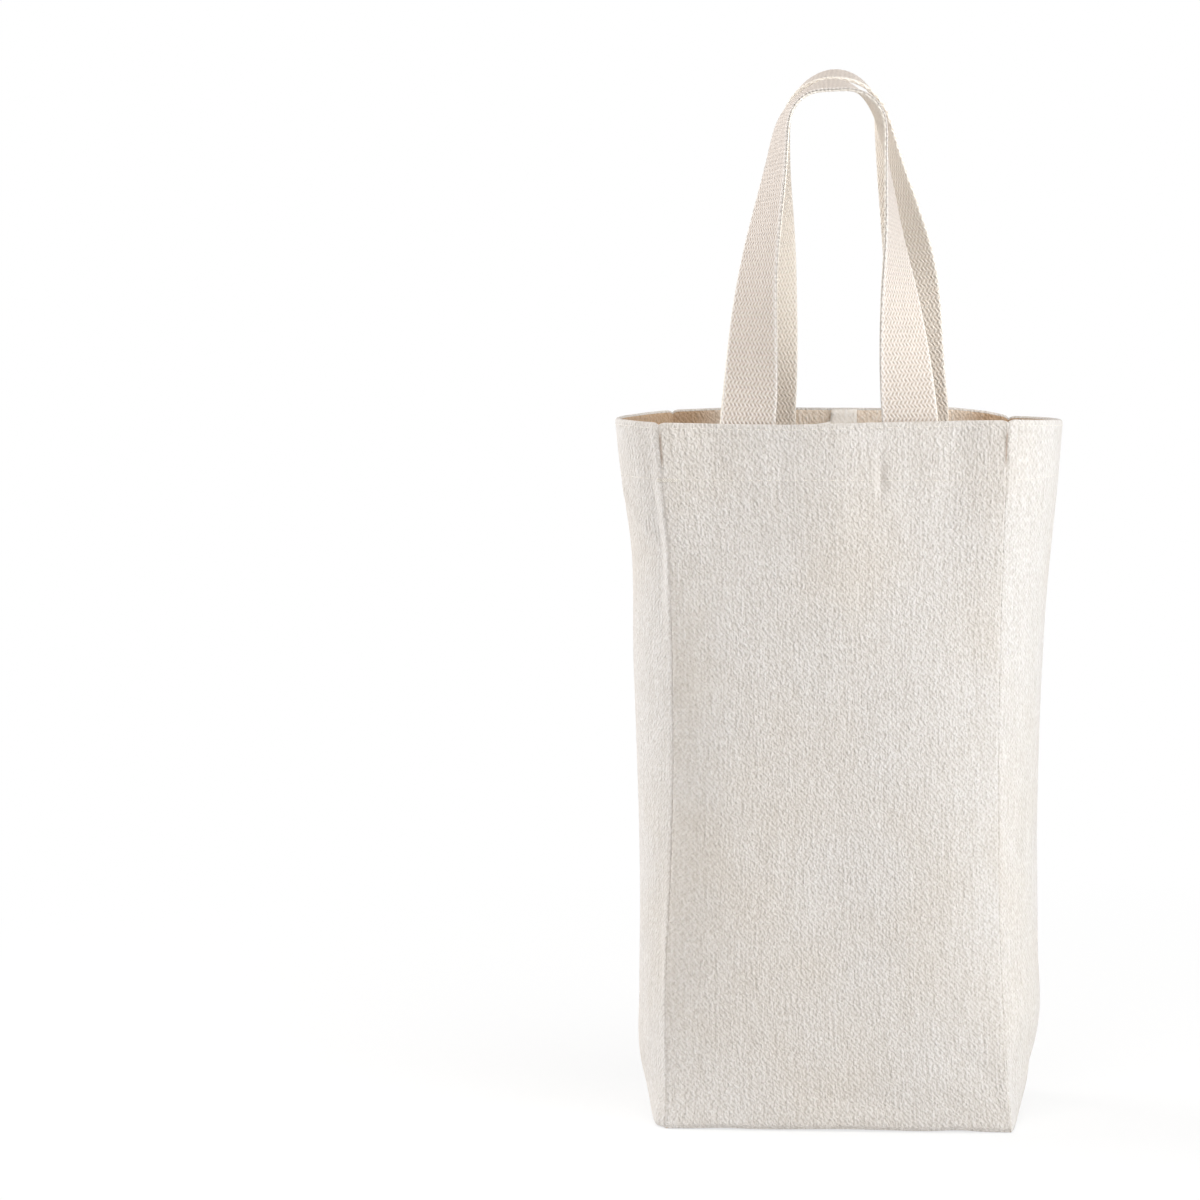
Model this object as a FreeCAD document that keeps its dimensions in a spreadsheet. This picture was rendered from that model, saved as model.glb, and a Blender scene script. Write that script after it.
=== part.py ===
import FreeCAD, Part
import math
import os
import Sketcher
from FreeCAD import Vector

# A canvas carrier for two bottles: four sewn walls, a base, a centre divider and two webbing handles.
# Frame: origin on the floor under the middle of the bag, X to the right, Y to the back, Z up, millimetres.

DOC = FreeCAD.newDocument("bottle_carrier")

# Each wall keeps its cut width. Where the seams are drawn together by a "draw", the cloth between bows out.
SIZES = {
    "canvas_thickness": 1.0,
    "panel_cut_width": 158.0,
    "gusset_cut_width": 102.0,
    "bag_height": 320.0,
    "hem_depth": 26.0,
    "seam_allowance": 8.0,
    "seam_gap": 0.1,
    "layer_gap": 0.15,
    "foot_width_draw": 0.0,
    "foot_depth_draw": 0.05,
    "foot_crown": 1.0,
    "ankle_height": 18.0,
    "ankle_width_draw": 2.4,
    "ankle_depth_draw": 2.1,
    "ankle_crown": 3.5,
    "knee_height": 60.0,
    "knee_width_draw": 5.4,
    "knee_depth_draw": 7.3,
    "knee_crown": 8.0,
    "belly_width_draw": 8.8,
    "belly_depth_draw": 9.4,
    "belly_crown": 10.0,
    "shoulder_drop": 60.0,
    "shoulder_width_draw": 7.2,
    "shoulder_depth_draw": 11.3,
    "shoulder_crown": 7.0,
    "hem_width_draw": 2.8,
    "hem_depth_draw": 15.5,
    "hem_crown": 2.5,
    "rim_width_draw": 0.5,
    "rim_depth_draw": 16.75,
    "rim_crown": 1.0,
    "divider_drop": 3.0,
    "divider_gap": 0.4,
    "divider_foot_width": 12.0,
    "divider_tab_width": 10.0,
    "webbing_width": 25.4,
    "webbing_thickness": 1.8,
    "handle_spacing": 72.0,
    "handle_end_length": 30.0,
    "handle_end_lift": 1.3,
    "handle_end_gap": 0.6,
    "hinge_lift": 0.6,
    "fold_clearance": 0.5,
    "front_handle_rise": 152.0,
    "back_handle_rise": 157.0,
    "handle_parting": 0.8,
    "arch_radius": 23.5,
    "thread_diameter": 0.5,
    "thread_gap": 0.05,
    "stitch_pitch": 5.0,
    "stitch_length": 3.2,
    "rim_stitch_inset": 2.5,
    "hem_stitch_inset": 2.0,
    "seam_stitch_inset": 4.5,
    "base_stitch_inset": 2.5,
    "end_stitch_inset": 3.0,
    "corner_margin": 4.0,
}

SHEET = DOC.addObject("Spreadsheet::Sheet", "sizes")
for row, (alias, number) in enumerate(SIZES.items(), start=1):
    SHEET.set(f"A{row}", alias)
    SHEET.set(f"B{row}", str(number))
    SHEET.setAlias(f"B{row}", alias)
DOC.recompute()

SCALE = DOC.addObject("App::FeaturePython", "reader")


def size(expression):
    """The present value of an expression over the sheet, in millimetres."""
    return float(SCALE.evalExpression(expression))


class Station:
    """One level of the bag: half width and half depth at the seams, bow of the panels and of the gussets."""

    def __init__(self, height, width_draw, depth_draw, crown):
        self.height = height
        self.half_width = f"((sizes.panel_cut_width - {width_draw}) / 2)"
        self.half_depth = f"((sizes.gusset_cut_width - {depth_draw}) / 2)"
        self.crown = f"({crown})"
        self.bulge = f"sqrt(0.1875 * (sizes.gusset_cut_width^2 - (2 * {self.half_depth})^2))"


def named_station(name, height):
    return Station(height, f"sizes.{name}_width_draw", f"sizes.{name}_depth_draw", f"sizes.{name}_crown")


HEM_LINE = "(sizes.bag_height - sizes.hem_depth)"
SHOULDER_LINE = f"({HEM_LINE} - sizes.shoulder_drop)"

FOOT = named_station("foot", "sizes.canvas_thickness")
ANKLE = named_station("ankle", "sizes.ankle_height")
KNEE = named_station("knee", "sizes.knee_height")
BELLY = named_station("belly", f"((sizes.knee_height + {SHOULDER_LINE}) / 2)")
SHOULDER = named_station("shoulder", SHOULDER_LINE)
HEM = named_station("hem", HEM_LINE)
RIM = named_station("rim", "sizes.bag_height")
WALL_STATIONS = [FOOT, ANKLE, KNEE, BELLY, SHOULDER, HEM]


def between(share):
    """The level that lies a share of the hem's depth below the rim."""

    def draw(kind):
        return f"(sizes.rim_{kind} + ({share}) * (sizes.hem_{kind} - sizes.rim_{kind}))"

    height = f"(sizes.bag_height - ({share}) * sizes.hem_depth)"
    return Station(height, draw("width_draw"), draw("depth_draw"), draw("crown"))


def seam_point(station, inward, aside):
    """A point near the right front seam: inward along the seam's diagonal, aside towards the gusset."""
    x = f"({station.half_width} + (({aside}) - ({inward})) / sqrt(2))"
    y = f"((({aside}) + ({inward})) / sqrt(2) - {station.half_depth})"
    return x, y


def left_of(point):
    return f"(-{point[0]})", point[1]


def behind(point):
    return point[0], f"(-{point[1]})"


def bow_radius(half_chord, sagitta):
    return f"((({half_chord})^2 + ({sagitta})^2) / (2 * ({sagitta})))"


def section(name, height, corners, bows):
    """A closed sketch at a height. Edge i runs from corner i to the next one, as an arc if bows has it."""
    sketch = DOC.addObject("Sketcher::SketchObject", name)
    places = [Vector(size(x), size(y), 0.0) for x, y in corners]
    count = len(corners)
    ends = {}
    for index in range(count):
        start = places[index]
        finish = places[(index + 1) % count]
        if index in bows:
            middle, radius, forward = bows[index]
            via = Vector(size(middle[0]), size(middle[1]), 0.0)
            first, last = (start, finish) if forward else (finish, start)
            sketch.addGeometry(Part.ArcOfCircle(first, via, last), False)
            ends[index] = (1, 2) if forward else (2, 1)
        else:
            sketch.addGeometry(Part.LineSegment(start, finish), False)
            ends[index] = (1, 2)
    for index in range(count):
        following = (index + 1) % count
        meet = Sketcher.Constraint("Coincident", index, ends[index][1], following, ends[following][0])
        sketch.addConstraint(meet)
    for index, (x, y) in enumerate(corners):
        for kind, expression in (("DistanceX", x), ("DistanceY", y)):
            rule = Sketcher.Constraint(kind, index, ends[index][0], size(expression))
            number = sketch.addConstraint(rule)
            sketch.setExpression(f"Constraints[{number}]", expression)
    for index, (middle, radius, forward) in bows.items():
        number = sketch.addConstraint(Sketcher.Constraint("Radius", index, size(radius)))
        sketch.setExpression(f"Constraints[{number}]", radius)
    sketch.Placement = FreeCAD.Placement(Vector(0, 0, size(height)), FreeCAD.Rotation())
    sketch.setExpression("Placement.Base.z", height)
    return sketch


def loft(name, sections):
    solid = DOC.addObject("Part::Loft", name)
    solid.Sections = sections
    solid.Solid = True
    solid.Ruled = False
    return solid


def fuse(label, pieces):
    joined = DOC.addObject("Part::MultiFuse", label)
    joined.Shapes = pieces
    joined.Label = label
    return joined


def mirrored(label, source, normal):
    twin = DOC.addObject("Part::Mirroring", label)
    twin.Source = source
    twin.Base = Vector(0, 0, 0)
    twin.Normal = normal
    twin.Label = label
    return twin


def feature(label, shape):
    solid = DOC.addObject("Part::Feature", label)
    solid.Shape = shape
    solid.Label = label
    return solid


ACROSS = Vector(1, 0, 0)
DEEP = Vector(0, 1, 0)
CLOTH = "sizes.canvas_thickness"
DOUBLE = "(2 * sizes.canvas_thickness)"
PANEL_FACE = "(-sizes.seam_gap / 2)"
GUSSET_FACE = "(sizes.seam_gap / 2)"


def front_bow(station, end, thickness):
    """The arc of the front panel through an end point, bowed to the front."""
    middle = ("0", f"({thickness} - {station.half_depth} - {station.crown})")
    return middle, bow_radius(end[0], f"{end[1]} - {middle[1]}")


def side_bow(station, end, thickness):
    """The arc of the right gusset through an end point, bowed to the right."""
    middle = (f"({station.half_width} + {station.bulge} - {thickness})", "0")
    return middle, bow_radius(end[1], f"{middle[0]} - {end[0]}")


def panel_wall_section(name, station):
    """Front panel below the hem: one layer of cloth with a seam allowance turned in at each side."""
    seam = seam_point(station, "0", PANEL_FACE)
    tip = seam_point(station, "sizes.seam_allowance", PANEL_FACE)
    tip_back = seam_point(station, "sizes.seam_allowance", f"{PANEL_FACE} - {CLOTH}")
    root = seam_point(station, DOUBLE, f"{PANEL_FACE} - {CLOTH}")
    corners = [left_of(seam), seam, tip, tip_back, root, left_of(root), left_of(tip_back), left_of(tip)]
    outer = front_bow(station, seam, "0")
    inner = front_bow(station, root, CLOTH)
    return section(name, station.height, corners, {0: (*outer, True), 4: (*inner, False)})


def panel_hem_section(name, station):
    """Front panel at the hem: two layers, mitred at the seams."""
    seam = seam_point(station, "0", PANEL_FACE)
    root = seam_point(station, f"{DOUBLE} * sqrt(2)", PANEL_FACE)
    corners = [left_of(seam), seam, root, left_of(root)]
    outer = front_bow(station, seam, "0")
    inner = front_bow(station, root, DOUBLE)
    return section(name, station.height, corners, {0: (*outer, True), 2: (*inner, False)})


def gusset_wall_section(name, station):
    seam = seam_point(station, "0", GUSSET_FACE)
    tip = seam_point(station, "sizes.seam_allowance", GUSSET_FACE)
    tip_back = seam_point(station, "sizes.seam_allowance", f"{GUSSET_FACE} + {CLOTH}")
    root = seam_point(station, f"1.6 * {CLOTH}", f"{GUSSET_FACE} + {CLOTH}")
    corners = [seam, behind(seam), behind(tip), behind(tip_back), behind(root), root, tip_back, tip]
    outer = side_bow(station, seam, "0")
    inner = side_bow(station, root, CLOTH)
    return section(name, station.height, corners, {0: (*outer, True), 4: (*inner, False)})


def gusset_hem_section(name, station):
    seam = seam_point(station, "0", GUSSET_FACE)
    root = seam_point(station, DOUBLE, GUSSET_FACE)
    corners = [seam, behind(seam), behind(root), root]
    outer = side_bow(station, seam, "0")
    inner = side_bow(station, root, DOUBLE)
    return section(name, station.height, corners, {0: (*outer, True), 2: (*inner, False)})


def wall(label, wall_section, hem_section):
    """A wall of the bag: single cloth from the base to the hem line, and the doubled hem above it."""
    lower = [wall_section(f"{label}_level_{i}", s) for i, s in enumerate(WALL_STATIONS)]
    upper = [hem_section(f"{label}_hem_{i}", s) for i, s in enumerate((HEM, RIM))]
    return fuse(label, [loft(f"{label}_wall", lower), loft(f"{label}_band", upper)])


def base_panel():
    """The base: one layer of cloth whose outline is the foot of the four walls."""
    body = DOC.addObject("PartDesign::Body", "base_panel")
    body.Label = "base_panel"
    sketch = body.newObject("Sketcher::SketchObject", "base_outline")
    floor = body.Origin.OriginFeatures[3]
    sketch.AttachmentSupport = [(floor, "")]
    sketch.MapMode = "FlatFace"
    seam = seam_point(FOOT, "0", "0")
    corners = [left_of(seam), seam, behind(seam), behind(left_of(seam))]
    front_middle, front_radius = front_bow(FOOT, seam, "0")
    side_middle, side_radius = side_bow(FOOT, seam, "0")
    middles = [front_middle, side_middle, behind(front_middle), left_of(side_middle)]
    radii = [front_radius, side_radius, front_radius, side_radius]
    for index, middle in enumerate(middles):
        points = [corners[index], middle, corners[(index + 1) % 4]]
        sketch.addGeometry(Part.ArcOfCircle(*[Vector(size(x), size(y), 0) for x, y in points]), False)
    for index in range(4):
        sketch.addConstraint(Sketcher.Constraint("Coincident", index, 2, (index + 1) % 4, 1))
        for kind, expression in zip(("DistanceX", "DistanceY"), corners[index]):
            number = sketch.addConstraint(Sketcher.Constraint(kind, index, 1, size(expression)))
            sketch.setExpression(f"Constraints[{number}]", expression)
        number = sketch.addConstraint(Sketcher.Constraint("Radius", index, size(radii[index])))
        sketch.setExpression(f"Constraints[{number}]", radii[index])
    pad = body.newObject("PartDesign::Pad", "base_cloth")
    pad.Profile = sketch
    pad.setExpression("Length", CLOTH)
    body.Tip = pad
    return body


DIVIDER_TOP = between("(sizes.divider_drop / sizes.hem_depth)")


def divider_reach(station, layers, gap):
    """Half the depth that the divider spans between the front and the back."""
    return f"({station.half_depth} + {station.crown} - {layers} - {gap})"


def divider():
    """The centre divider: a sheet from front to back, a foot on the base and a tab on each hem."""
    half = f"({CLOTH} / 2)"
    sheets = []
    for index, station in enumerate(WALL_STATIONS):
        reach = divider_reach(station, CLOTH, "sizes.divider_gap")
        corner = (half, f"(-{reach})")
        corners = [left_of(corner), corner, behind(corner), behind(left_of(corner))]
        sheets.append(section(f"divider_level_{index}", station.height, corners, {}))
    tabs = []
    for index, station in enumerate((HEM, DIVIDER_TOP)):
        reach = divider_reach(station, DOUBLE, "sizes.layer_gap")
        tab = "sizes.divider_tab_width"
        front = [(f"(-{half})", f"(-{reach})"), (tab, f"(-{reach})")]
        front += [(tab, f"({CLOTH} - {reach})"), (half, f"({CLOTH} - {reach})")]
        back = [(f"(-{x})", f"(-{y})") for x, y in front]
        tabs.append(section(f"divider_tab_{index}", station.height, front + back, {}))
    foot = DOC.addObject("Part::Box", "divider_foot")
    foot_reach = divider_reach(FOOT, CLOTH, "sizes.divider_gap")
    foot.setExpression("Length", "sizes.divider_foot_width")
    foot.setExpression("Width", f"2 * {foot_reach}")
    foot.setExpression("Height", CLOTH)
    foot.setExpression("Placement.Base.y", f"-{foot_reach}")
    foot.setExpression("Placement.Base.z", CLOTH)
    return fuse("divider", [loft("divider_sheet", sheets), loft("divider_tabs", tabs), foot])


LEG = "(sizes.handle_spacing / 2)"
LEG_OUTSIDE = f"({LEG} + sizes.webbing_width / 2)"
LEG_INSIDE = f"({LEG} - sizes.webbing_width / 2)"


def hem_face(station, x):
    """Where the inner face of the front hem stands at a place across the bag."""
    rise = f"{station.crown} * (({x}) / {station.half_width})^2"
    return f"({DOUBLE} - {station.half_depth} - {station.crown} + {rise})"


END_FACE_RIM = f"({hem_face(RIM, LEG_OUTSIDE)} + sizes.layer_gap)"
END_FACE_HEM = f"({hem_face(HEM, LEG_OUTSIDE)} + sizes.layer_gap)"
END_LEAN = f"(({END_FACE_RIM} - {END_FACE_HEM}) / sizes.hem_depth)"
HINGE_Y = f"(({END_FACE_RIM} + {hem_face(RIM, LEG_INSIDE)} - {DOUBLE} - sizes.fold_clearance) / 2)"
HINGE_Z = "(sizes.bag_height + sizes.hinge_lift)"


def handle_end(label, side):
    """A sewn-down end of the front handle, flat against the inner face of the hem."""
    end = DOC.addObject("Part::Box", label)
    end.Label = label
    end.setExpression("Length", "sizes.webbing_width")
    end.setExpression("Width", "sizes.webbing_thickness")
    end.setExpression("Height", "sizes.handle_end_length")
    lean = size(END_LEAN)
    drop = size("sizes.handle_end_length - sizes.handle_end_lift")
    left_edge = side * size(LEG) - size("sizes.webbing_width") / 2
    place = Vector(left_edge, size(END_FACE_RIM) - drop * lean, size("sizes.bag_height") - drop)
    end.Placement = FreeCAD.Placement(place, FreeCAD.Rotation(ACROSS, -math.degrees(math.atan(lean))))
    return end


LEG_SECTIONS = 8
ARCH_SECTIONS = 7


def handle_loop(label, rise):
    """The free loop of the front handle: two legs that turn a quarter on their way up, and an arch."""
    width = size("sizes.webbing_width")
    thickness = size("sizes.webbing_thickness")
    radius = size("sizes.arch_radius")
    leg = size(LEG)
    start_z = size("sizes.bag_height + sizes.handle_end_lift + sizes.handle_end_gap")
    start_y = size(END_FACE_RIM) + thickness / 2
    apex_y = -(width + size("sizes.handle_parting")) / 2
    apex_z = size("sizes.bag_height") + size(rise)
    start = Vector(0, start_y, start_z)
    up = Vector(0, apex_y - start_y, apex_z - start_z)
    height = up.Length
    up.normalize()
    outward = ACROSS.cross(up)
    centre = height - radius
    reach = math.hypot(leg, centre)
    leg_length = math.sqrt(reach ** 2 - radius ** 2)
    heading = math.atan2(centre, -leg) - math.asin(radius / reach)
    arch_start = heading - math.pi / 2
    half_length = leg_length + radius * (math.pi / 2 - arch_start)
    stops = []
    for index in range(LEG_SECTIONS):
        run = leg_length * index / LEG_SECTIONS
        aim = 0.0 if index == 0 else arch_start
        place = (leg + run * math.cos(heading), run * math.sin(heading))
        stops.append((run, place, aim))
    for index in range(ARCH_SECTIONS + 1):
        aim = arch_start + (math.pi / 2 - arch_start) * index / ARCH_SECTIONS
        run = leg_length + radius * (aim - arch_start)
        place = (radius * math.cos(aim), centre + radius * math.sin(aim))
        stops.append((run, place, aim))
    wires = []
    for side, order in ((1, stops), (-1, stops[-2::-1])):
        for run, (across, along), aim in order:
            turn = math.pi / 2 * math.sin(math.pi / 2 * run / half_length)
            middle = start + ACROSS * (side * across) + up * along
            away = ACROSS * (side * math.cos(aim)) + up * math.sin(aim)
            face = outward * math.cos(turn) + away * math.sin(turn)
            edge = outward * math.sin(turn) - away * math.cos(turn)
            face = face * (thickness / 2)
            edge = edge * (width / 2) * side
            rim = [middle + edge * side + face, middle + edge * side - face]
            rim += [middle - edge * side - face, middle - edge * side + face]
            wires.append(Part.makePolygon(rim + rim[:1]))
    return Part.makeLoft(wires, True, False)


def stitch(middle, direction):
    """One stitch: a short rod of thread."""
    length = size("sizes.stitch_length")
    direction = Vector(direction).normalize()
    return Part.makeCylinder(size("sizes.thread_diameter") / 2, length, middle - direction * (length / 2), direction)


def lift():
    """How far the middle of a thread stands off the cloth it lies on."""
    return size("sizes.thread_diameter / 2 + sizes.thread_gap")


def spread(length):
    """Places along a row of stitches, measured from the middle of the row."""
    count = max(2, int(length / size("sizes.stitch_pitch")))
    return [length * ((index + 0.5) / count - 0.5) for index in range(count)]


def around(station):
    """A row of stitches on the outside of all four walls at one level."""
    z = size(station.height)
    half_width = size(station.half_width)
    half_depth = size(station.half_depth)
    margin = size("sizes.corner_margin")
    crown = size(station.crown)
    bulge = size(station.bulge)
    rods = []
    radius = (half_width ** 2 + crown ** 2) / (2 * crown)
    for x in spread(2 * (half_width - margin)):
        angle = math.asin(x / radius)
        out = Vector(math.sin(angle), -math.cos(angle), 0)
        place = Vector(0, radius - half_depth - crown, z) + out * (radius + lift())
        rods.append(stitch(place, Vector(math.cos(angle), math.sin(angle), 0)))
    radius = (half_depth ** 2 + bulge ** 2) / (2 * bulge)
    sweep = math.asin(half_depth / radius)
    for run in spread(2 * (radius * sweep - margin)):
        angle = run / radius
        out = Vector(math.cos(angle), math.sin(angle), 0)
        place = Vector(half_width + bulge - radius, 0, z) + out * (radius + lift())
        rods.append(stitch(place, Vector(-math.sin(angle), math.cos(angle), 0)))
    quarter = FreeCAD.Rotation(Vector(0, 0, 1), 180)
    turned = [rod.transformGeometry(FreeCAD.Placement(Vector(), quarter).toMatrix()) for rod in rods]
    return Part.makeCompound(rods + turned)


def seam_thread(wall_loft):
    """The row of stitches through the two allowances of the right front seam, on the panel's side."""
    foot_end = Vector(*[size(e) for e in (*seam_point(FOOT, "0", PANEL_FACE), FOOT.height)])
    top_end = Vector(*[size(e) for e in (*seam_point(HEM, "0", PANEL_FACE), HEM.height)])
    for edge in wall_loft.Shape.Edges:
        ends = [vertex.Point for vertex in edge.Vertexes]
        if min(p.distanceToPoint(foot_end) for p in ends) > 0.01:
            continue
        if min(p.distanceToPoint(top_end) for p in ends) < 0.01:
            break
    count = int(edge.Length / size("sizes.stitch_pitch"))
    trail = edge.discretize(Number=2 * count + 1)
    inset = size("sizes.seam_stitch_inset")
    off = size(CLOTH) + lift()
    shift = Vector(-(inset + off), inset - off, 0) / math.sqrt(2)
    rods = []
    for index in range(1, 2 * count, 2):
        rods.append(stitch(trail[index] + shift, trail[index + 1] - trail[index - 1]))
    return Part.makeCompound(rods)


def base_thread():
    """The row of stitches round the inside of the base."""
    z = size(CLOTH) + lift()
    inset = size(f"{CLOTH} + sizes.base_stitch_inset")
    margin = size("2 * sizes.corner_margin + sizes.seam_allowance")
    half_width = size(FOOT.half_width)
    half_depth = size(FOOT.half_depth)
    clear_from = -size("sizes.corner_margin")
    clear_to = size("sizes.divider_foot_width + sizes.corner_margin")
    rods = []
    for x in spread(2 * (half_width - margin)):
        for side in (-1, 1):
            if not clear_from < x < clear_to:
                rods.append(stitch(Vector(x, side * (half_depth - inset), z), ACROSS))
    for y in spread(2 * (half_depth - margin)):
        for side in (-1, 1):
            rods.append(stitch(Vector(side * (half_width - inset), y, z), DEEP))
    return Part.makeCompound(rods)


def row(start, finish, skip=None):
    """Stitches on a straight line, leaving out those close to a crossing."""
    line = finish - start
    rods = []
    for run in spread(line.Length):
        place = (start + finish) / 2 + Vector(line).normalize() * run
        if skip is None or place.distanceToPoint(skip) > size("sizes.stitch_length"):
            rods.append(stitch(place, line))
    return rods


def end_thread(end):
    """A box of stitches with a cross in it, on the inner face of a handle end."""
    inset = size("sizes.end_stitch_inset")
    gap = size("sizes.stitch_length") / 2
    y = size("sizes.webbing_thickness") + lift()
    left = inset
    right = size("sizes.webbing_width") - inset
    low = inset
    high = size("sizes.hem_depth") - inset
    rods = []
    for z in (low, high):
        rods += row(Vector(left + gap, y, z), Vector(right - gap, y, z))
    for x in (left, right):
        rods += row(Vector(x, y, low + gap), Vector(x, y, high - gap))
    middle = Vector((left + right) / 2, y, (low + high) / 2)
    rods += row(Vector(left + gap, y, low + gap), Vector(right - gap, y, high - gap))
    rods += row(Vector(right - gap, y, low + gap), Vector(left + gap, y, high - gap), middle)
    return [rod.transformGeometry(end.Placement.toMatrix()) for rod in rods]


def divider_thread():
    """A short ladder of stitches on each of the divider's two tabs."""
    x = size(f"({CLOTH} / 2 + sizes.divider_tab_width) / 2")
    rods = []
    for share in (0.25, 0.4, 0.55, 0.7, 0.85):
        station = between(str(share))
        y = size(f"{CLOTH} - {divider_reach(station, DOUBLE, 'sizes.layer_gap')}") + lift()
        z = size(station.height)
        rods.append(stitch(Vector(x, y, z), ACROSS))
        rods.append(stitch(Vector(-x, -y, z), ACROSS))
    return Part.makeCompound(rods)


NODES = []

front_panel = wall("front_panel", panel_wall_section, panel_hem_section)
right_gusset = wall("right_gusset", gusset_wall_section, gusset_hem_section)
back_panel = mirrored("back_panel", front_panel, DEEP)
left_gusset = mirrored("left_gusset", right_gusset, ACROSS)
NODES += [front_panel, back_panel, left_gusset, right_gusset, base_panel(), divider()]

front_left_end = handle_end("front_handle_left_end", -1)
front_right_end = handle_end("front_handle_right_end", 1)
NODES += [front_left_end, front_right_end]
NODES.append(mirrored("back_handle_left_end", front_left_end, DEEP))
NODES.append(mirrored("back_handle_right_end", front_right_end, DEEP))

front_loop = handle_loop("front_handle", "sizes.front_handle_rise")
back_loop = handle_loop("back_handle", "sizes.back_handle_rise")
NODES.append(feature("front_handle", front_loop))
NODES.append(feature("back_handle", back_loop.mirror(Vector(), DEEP)))
DOC.recompute()

NODES.append(feature("rim_stitching", around(between("(sizes.rim_stitch_inset / sizes.hem_depth)"))))
NODES.append(feature("hem_stitching", around(between("(1 - sizes.hem_stitch_inset / sizes.hem_depth)"))))
front_right_seam = feature("front_right_seam_thread", seam_thread(DOC.getObject("front_panel_wall")))
front_left_seam = mirrored("front_left_seam_thread", front_right_seam, ACROSS)
NODES += [front_right_seam, front_left_seam]
NODES.append(mirrored("back_right_seam_thread", front_right_seam, DEEP))
NODES.append(mirrored("back_left_seam_thread", front_left_seam, DEEP))
NODES.append(feature("base_seam_thread", base_thread()))
front_ends = Part.makeCompound(end_thread(front_left_end) + end_thread(front_right_end))
front_end_thread = feature("front_handle_stitching", front_ends)
NODES.append(front_end_thread)
NODES.append(mirrored("back_handle_stitching", front_end_thread, DEEP))
NODES.append(feature("divider_stitching", divider_thread()))
DOC.recompute()

os.makedirs("parts", exist_ok=True)
for node in NODES:
    wrong = [word for word in node.State if word in ("Invalid", "Error")]
    if wrong or node.Shape.isNull() or not node.Shape.isValid():
        raise RuntimeError(f"{node.Label} did not build: {node.State}")
    box = node.Shape.BoundBox
    print(node.Label, "solids", len(node.Shape.Solids), "volume", round(node.Shape.Volume, 1), box)
    node.Shape.exportStep(f"parts/{node.Label}.step")
print("hinge line of the front handle at y", round(size(HINGE_Y), 3), "z", round(size(HINGE_Z), 3))
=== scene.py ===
# %% [markdown]
# # A canvas carrier for two bottles
# The real object is a small gusseted bag sewn from heavy natural cotton canvas, with two handles of
# cotton webbing that rise from inside the rim and meet in one arch. The CAD model fixes the sizes, the
# places and the two joints. This lesson dresses it: every flat CAD sheet gets a piece of cloth with
# folds, seams and stitches, in the same place and in metres.

# %% Load the CAD frame
import math

import bpy
import numpy as np
from mathutils import Matrix, Vector, noise


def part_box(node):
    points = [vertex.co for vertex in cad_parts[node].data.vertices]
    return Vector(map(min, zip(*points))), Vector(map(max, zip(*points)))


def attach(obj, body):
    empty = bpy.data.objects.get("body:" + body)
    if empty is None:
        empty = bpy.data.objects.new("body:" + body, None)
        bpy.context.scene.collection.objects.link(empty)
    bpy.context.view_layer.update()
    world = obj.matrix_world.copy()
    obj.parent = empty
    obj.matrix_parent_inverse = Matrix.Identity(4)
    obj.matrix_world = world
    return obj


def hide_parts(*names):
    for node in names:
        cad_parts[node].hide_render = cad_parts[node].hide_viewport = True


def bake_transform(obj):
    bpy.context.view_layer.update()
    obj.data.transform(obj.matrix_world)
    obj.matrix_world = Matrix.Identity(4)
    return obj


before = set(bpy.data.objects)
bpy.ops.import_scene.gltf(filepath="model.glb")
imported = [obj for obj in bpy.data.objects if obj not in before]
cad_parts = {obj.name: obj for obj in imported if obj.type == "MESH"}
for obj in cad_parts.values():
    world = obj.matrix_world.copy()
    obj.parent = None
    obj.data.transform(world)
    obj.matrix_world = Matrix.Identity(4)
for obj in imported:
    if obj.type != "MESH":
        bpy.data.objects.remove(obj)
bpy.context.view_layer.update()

# %% [markdown]
# ## Sizes of the bag
# A maker cuts the cloth flat and the bag finds its own shape, so the shape is told by a few heights. At
# each one we note how far the corner seams stand from the middle, how far the panels crown forward and
# how far the gussets belly out. Between the heights a smooth curve does the rest. We could read the
# CAD mesh instead, but seven rows of sizes are easier to change and to understand.

# %% Heights of the bag
MM = 0.001
rim_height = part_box("front_panel")[1].z / MM
panel_half = 79.0
gusset_half = 51.0
canvas_thick = 1.0
hem_depth = 26.0

# height, half width at the seams, half depth at the seams, crown of a panel, belly of a gusset
bag_heights = np.array([
    (1.0, 79.0, 50.6, 1.0, 4.0),
    (18.0, 77.8, 49.0, 3.5, 11.8),
    (60.0, 76.3, 47.3, 8.0, 16.2),
    (147.0, 74.6, 46.5, 10.0, 17.8),
    (234.0, 75.4, 45.35, 7.0, 20.2),
    (294.0, 77.6, 43.25, 2.5, 23.4),
    (rim_height, 78.75, 42.63, 1.0, 24.25),
])
bag_slopes = np.gradient(bag_heights[:, 1:], bag_heights[:, 0], axis=0)


def bag_at(height):
    """Half width, half depth, crown and belly at a height, on a smooth curve through the rows."""
    z = np.clip(np.asarray(height, float), bag_heights[0, 0], rim_height)
    row = np.clip(np.searchsorted(bag_heights[:, 0], z) - 1, 0, len(bag_heights) - 2)
    low, high = bag_heights[row], bag_heights[row + 1]
    span = (high[..., 0] - low[..., 0])[..., None]
    t = (z[..., None] - low[..., :1]) / span
    curve = ((2 * t**3 - 3 * t**2 + 1) * low[..., 1:] + (t**3 - 2 * t**2 + t) * span * bag_slopes[row]
             + (3 * t**2 - 2 * t**3) * high[..., 1:] + (t**3 - t**2) * span * bag_slopes[row + 1])
    return np.moveaxis(curve, -1, 0)


print("rim height, mm:", round(rim_height, 1), " half width at 150 mm:", bag_at(150.0)[0].round(1))

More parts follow.
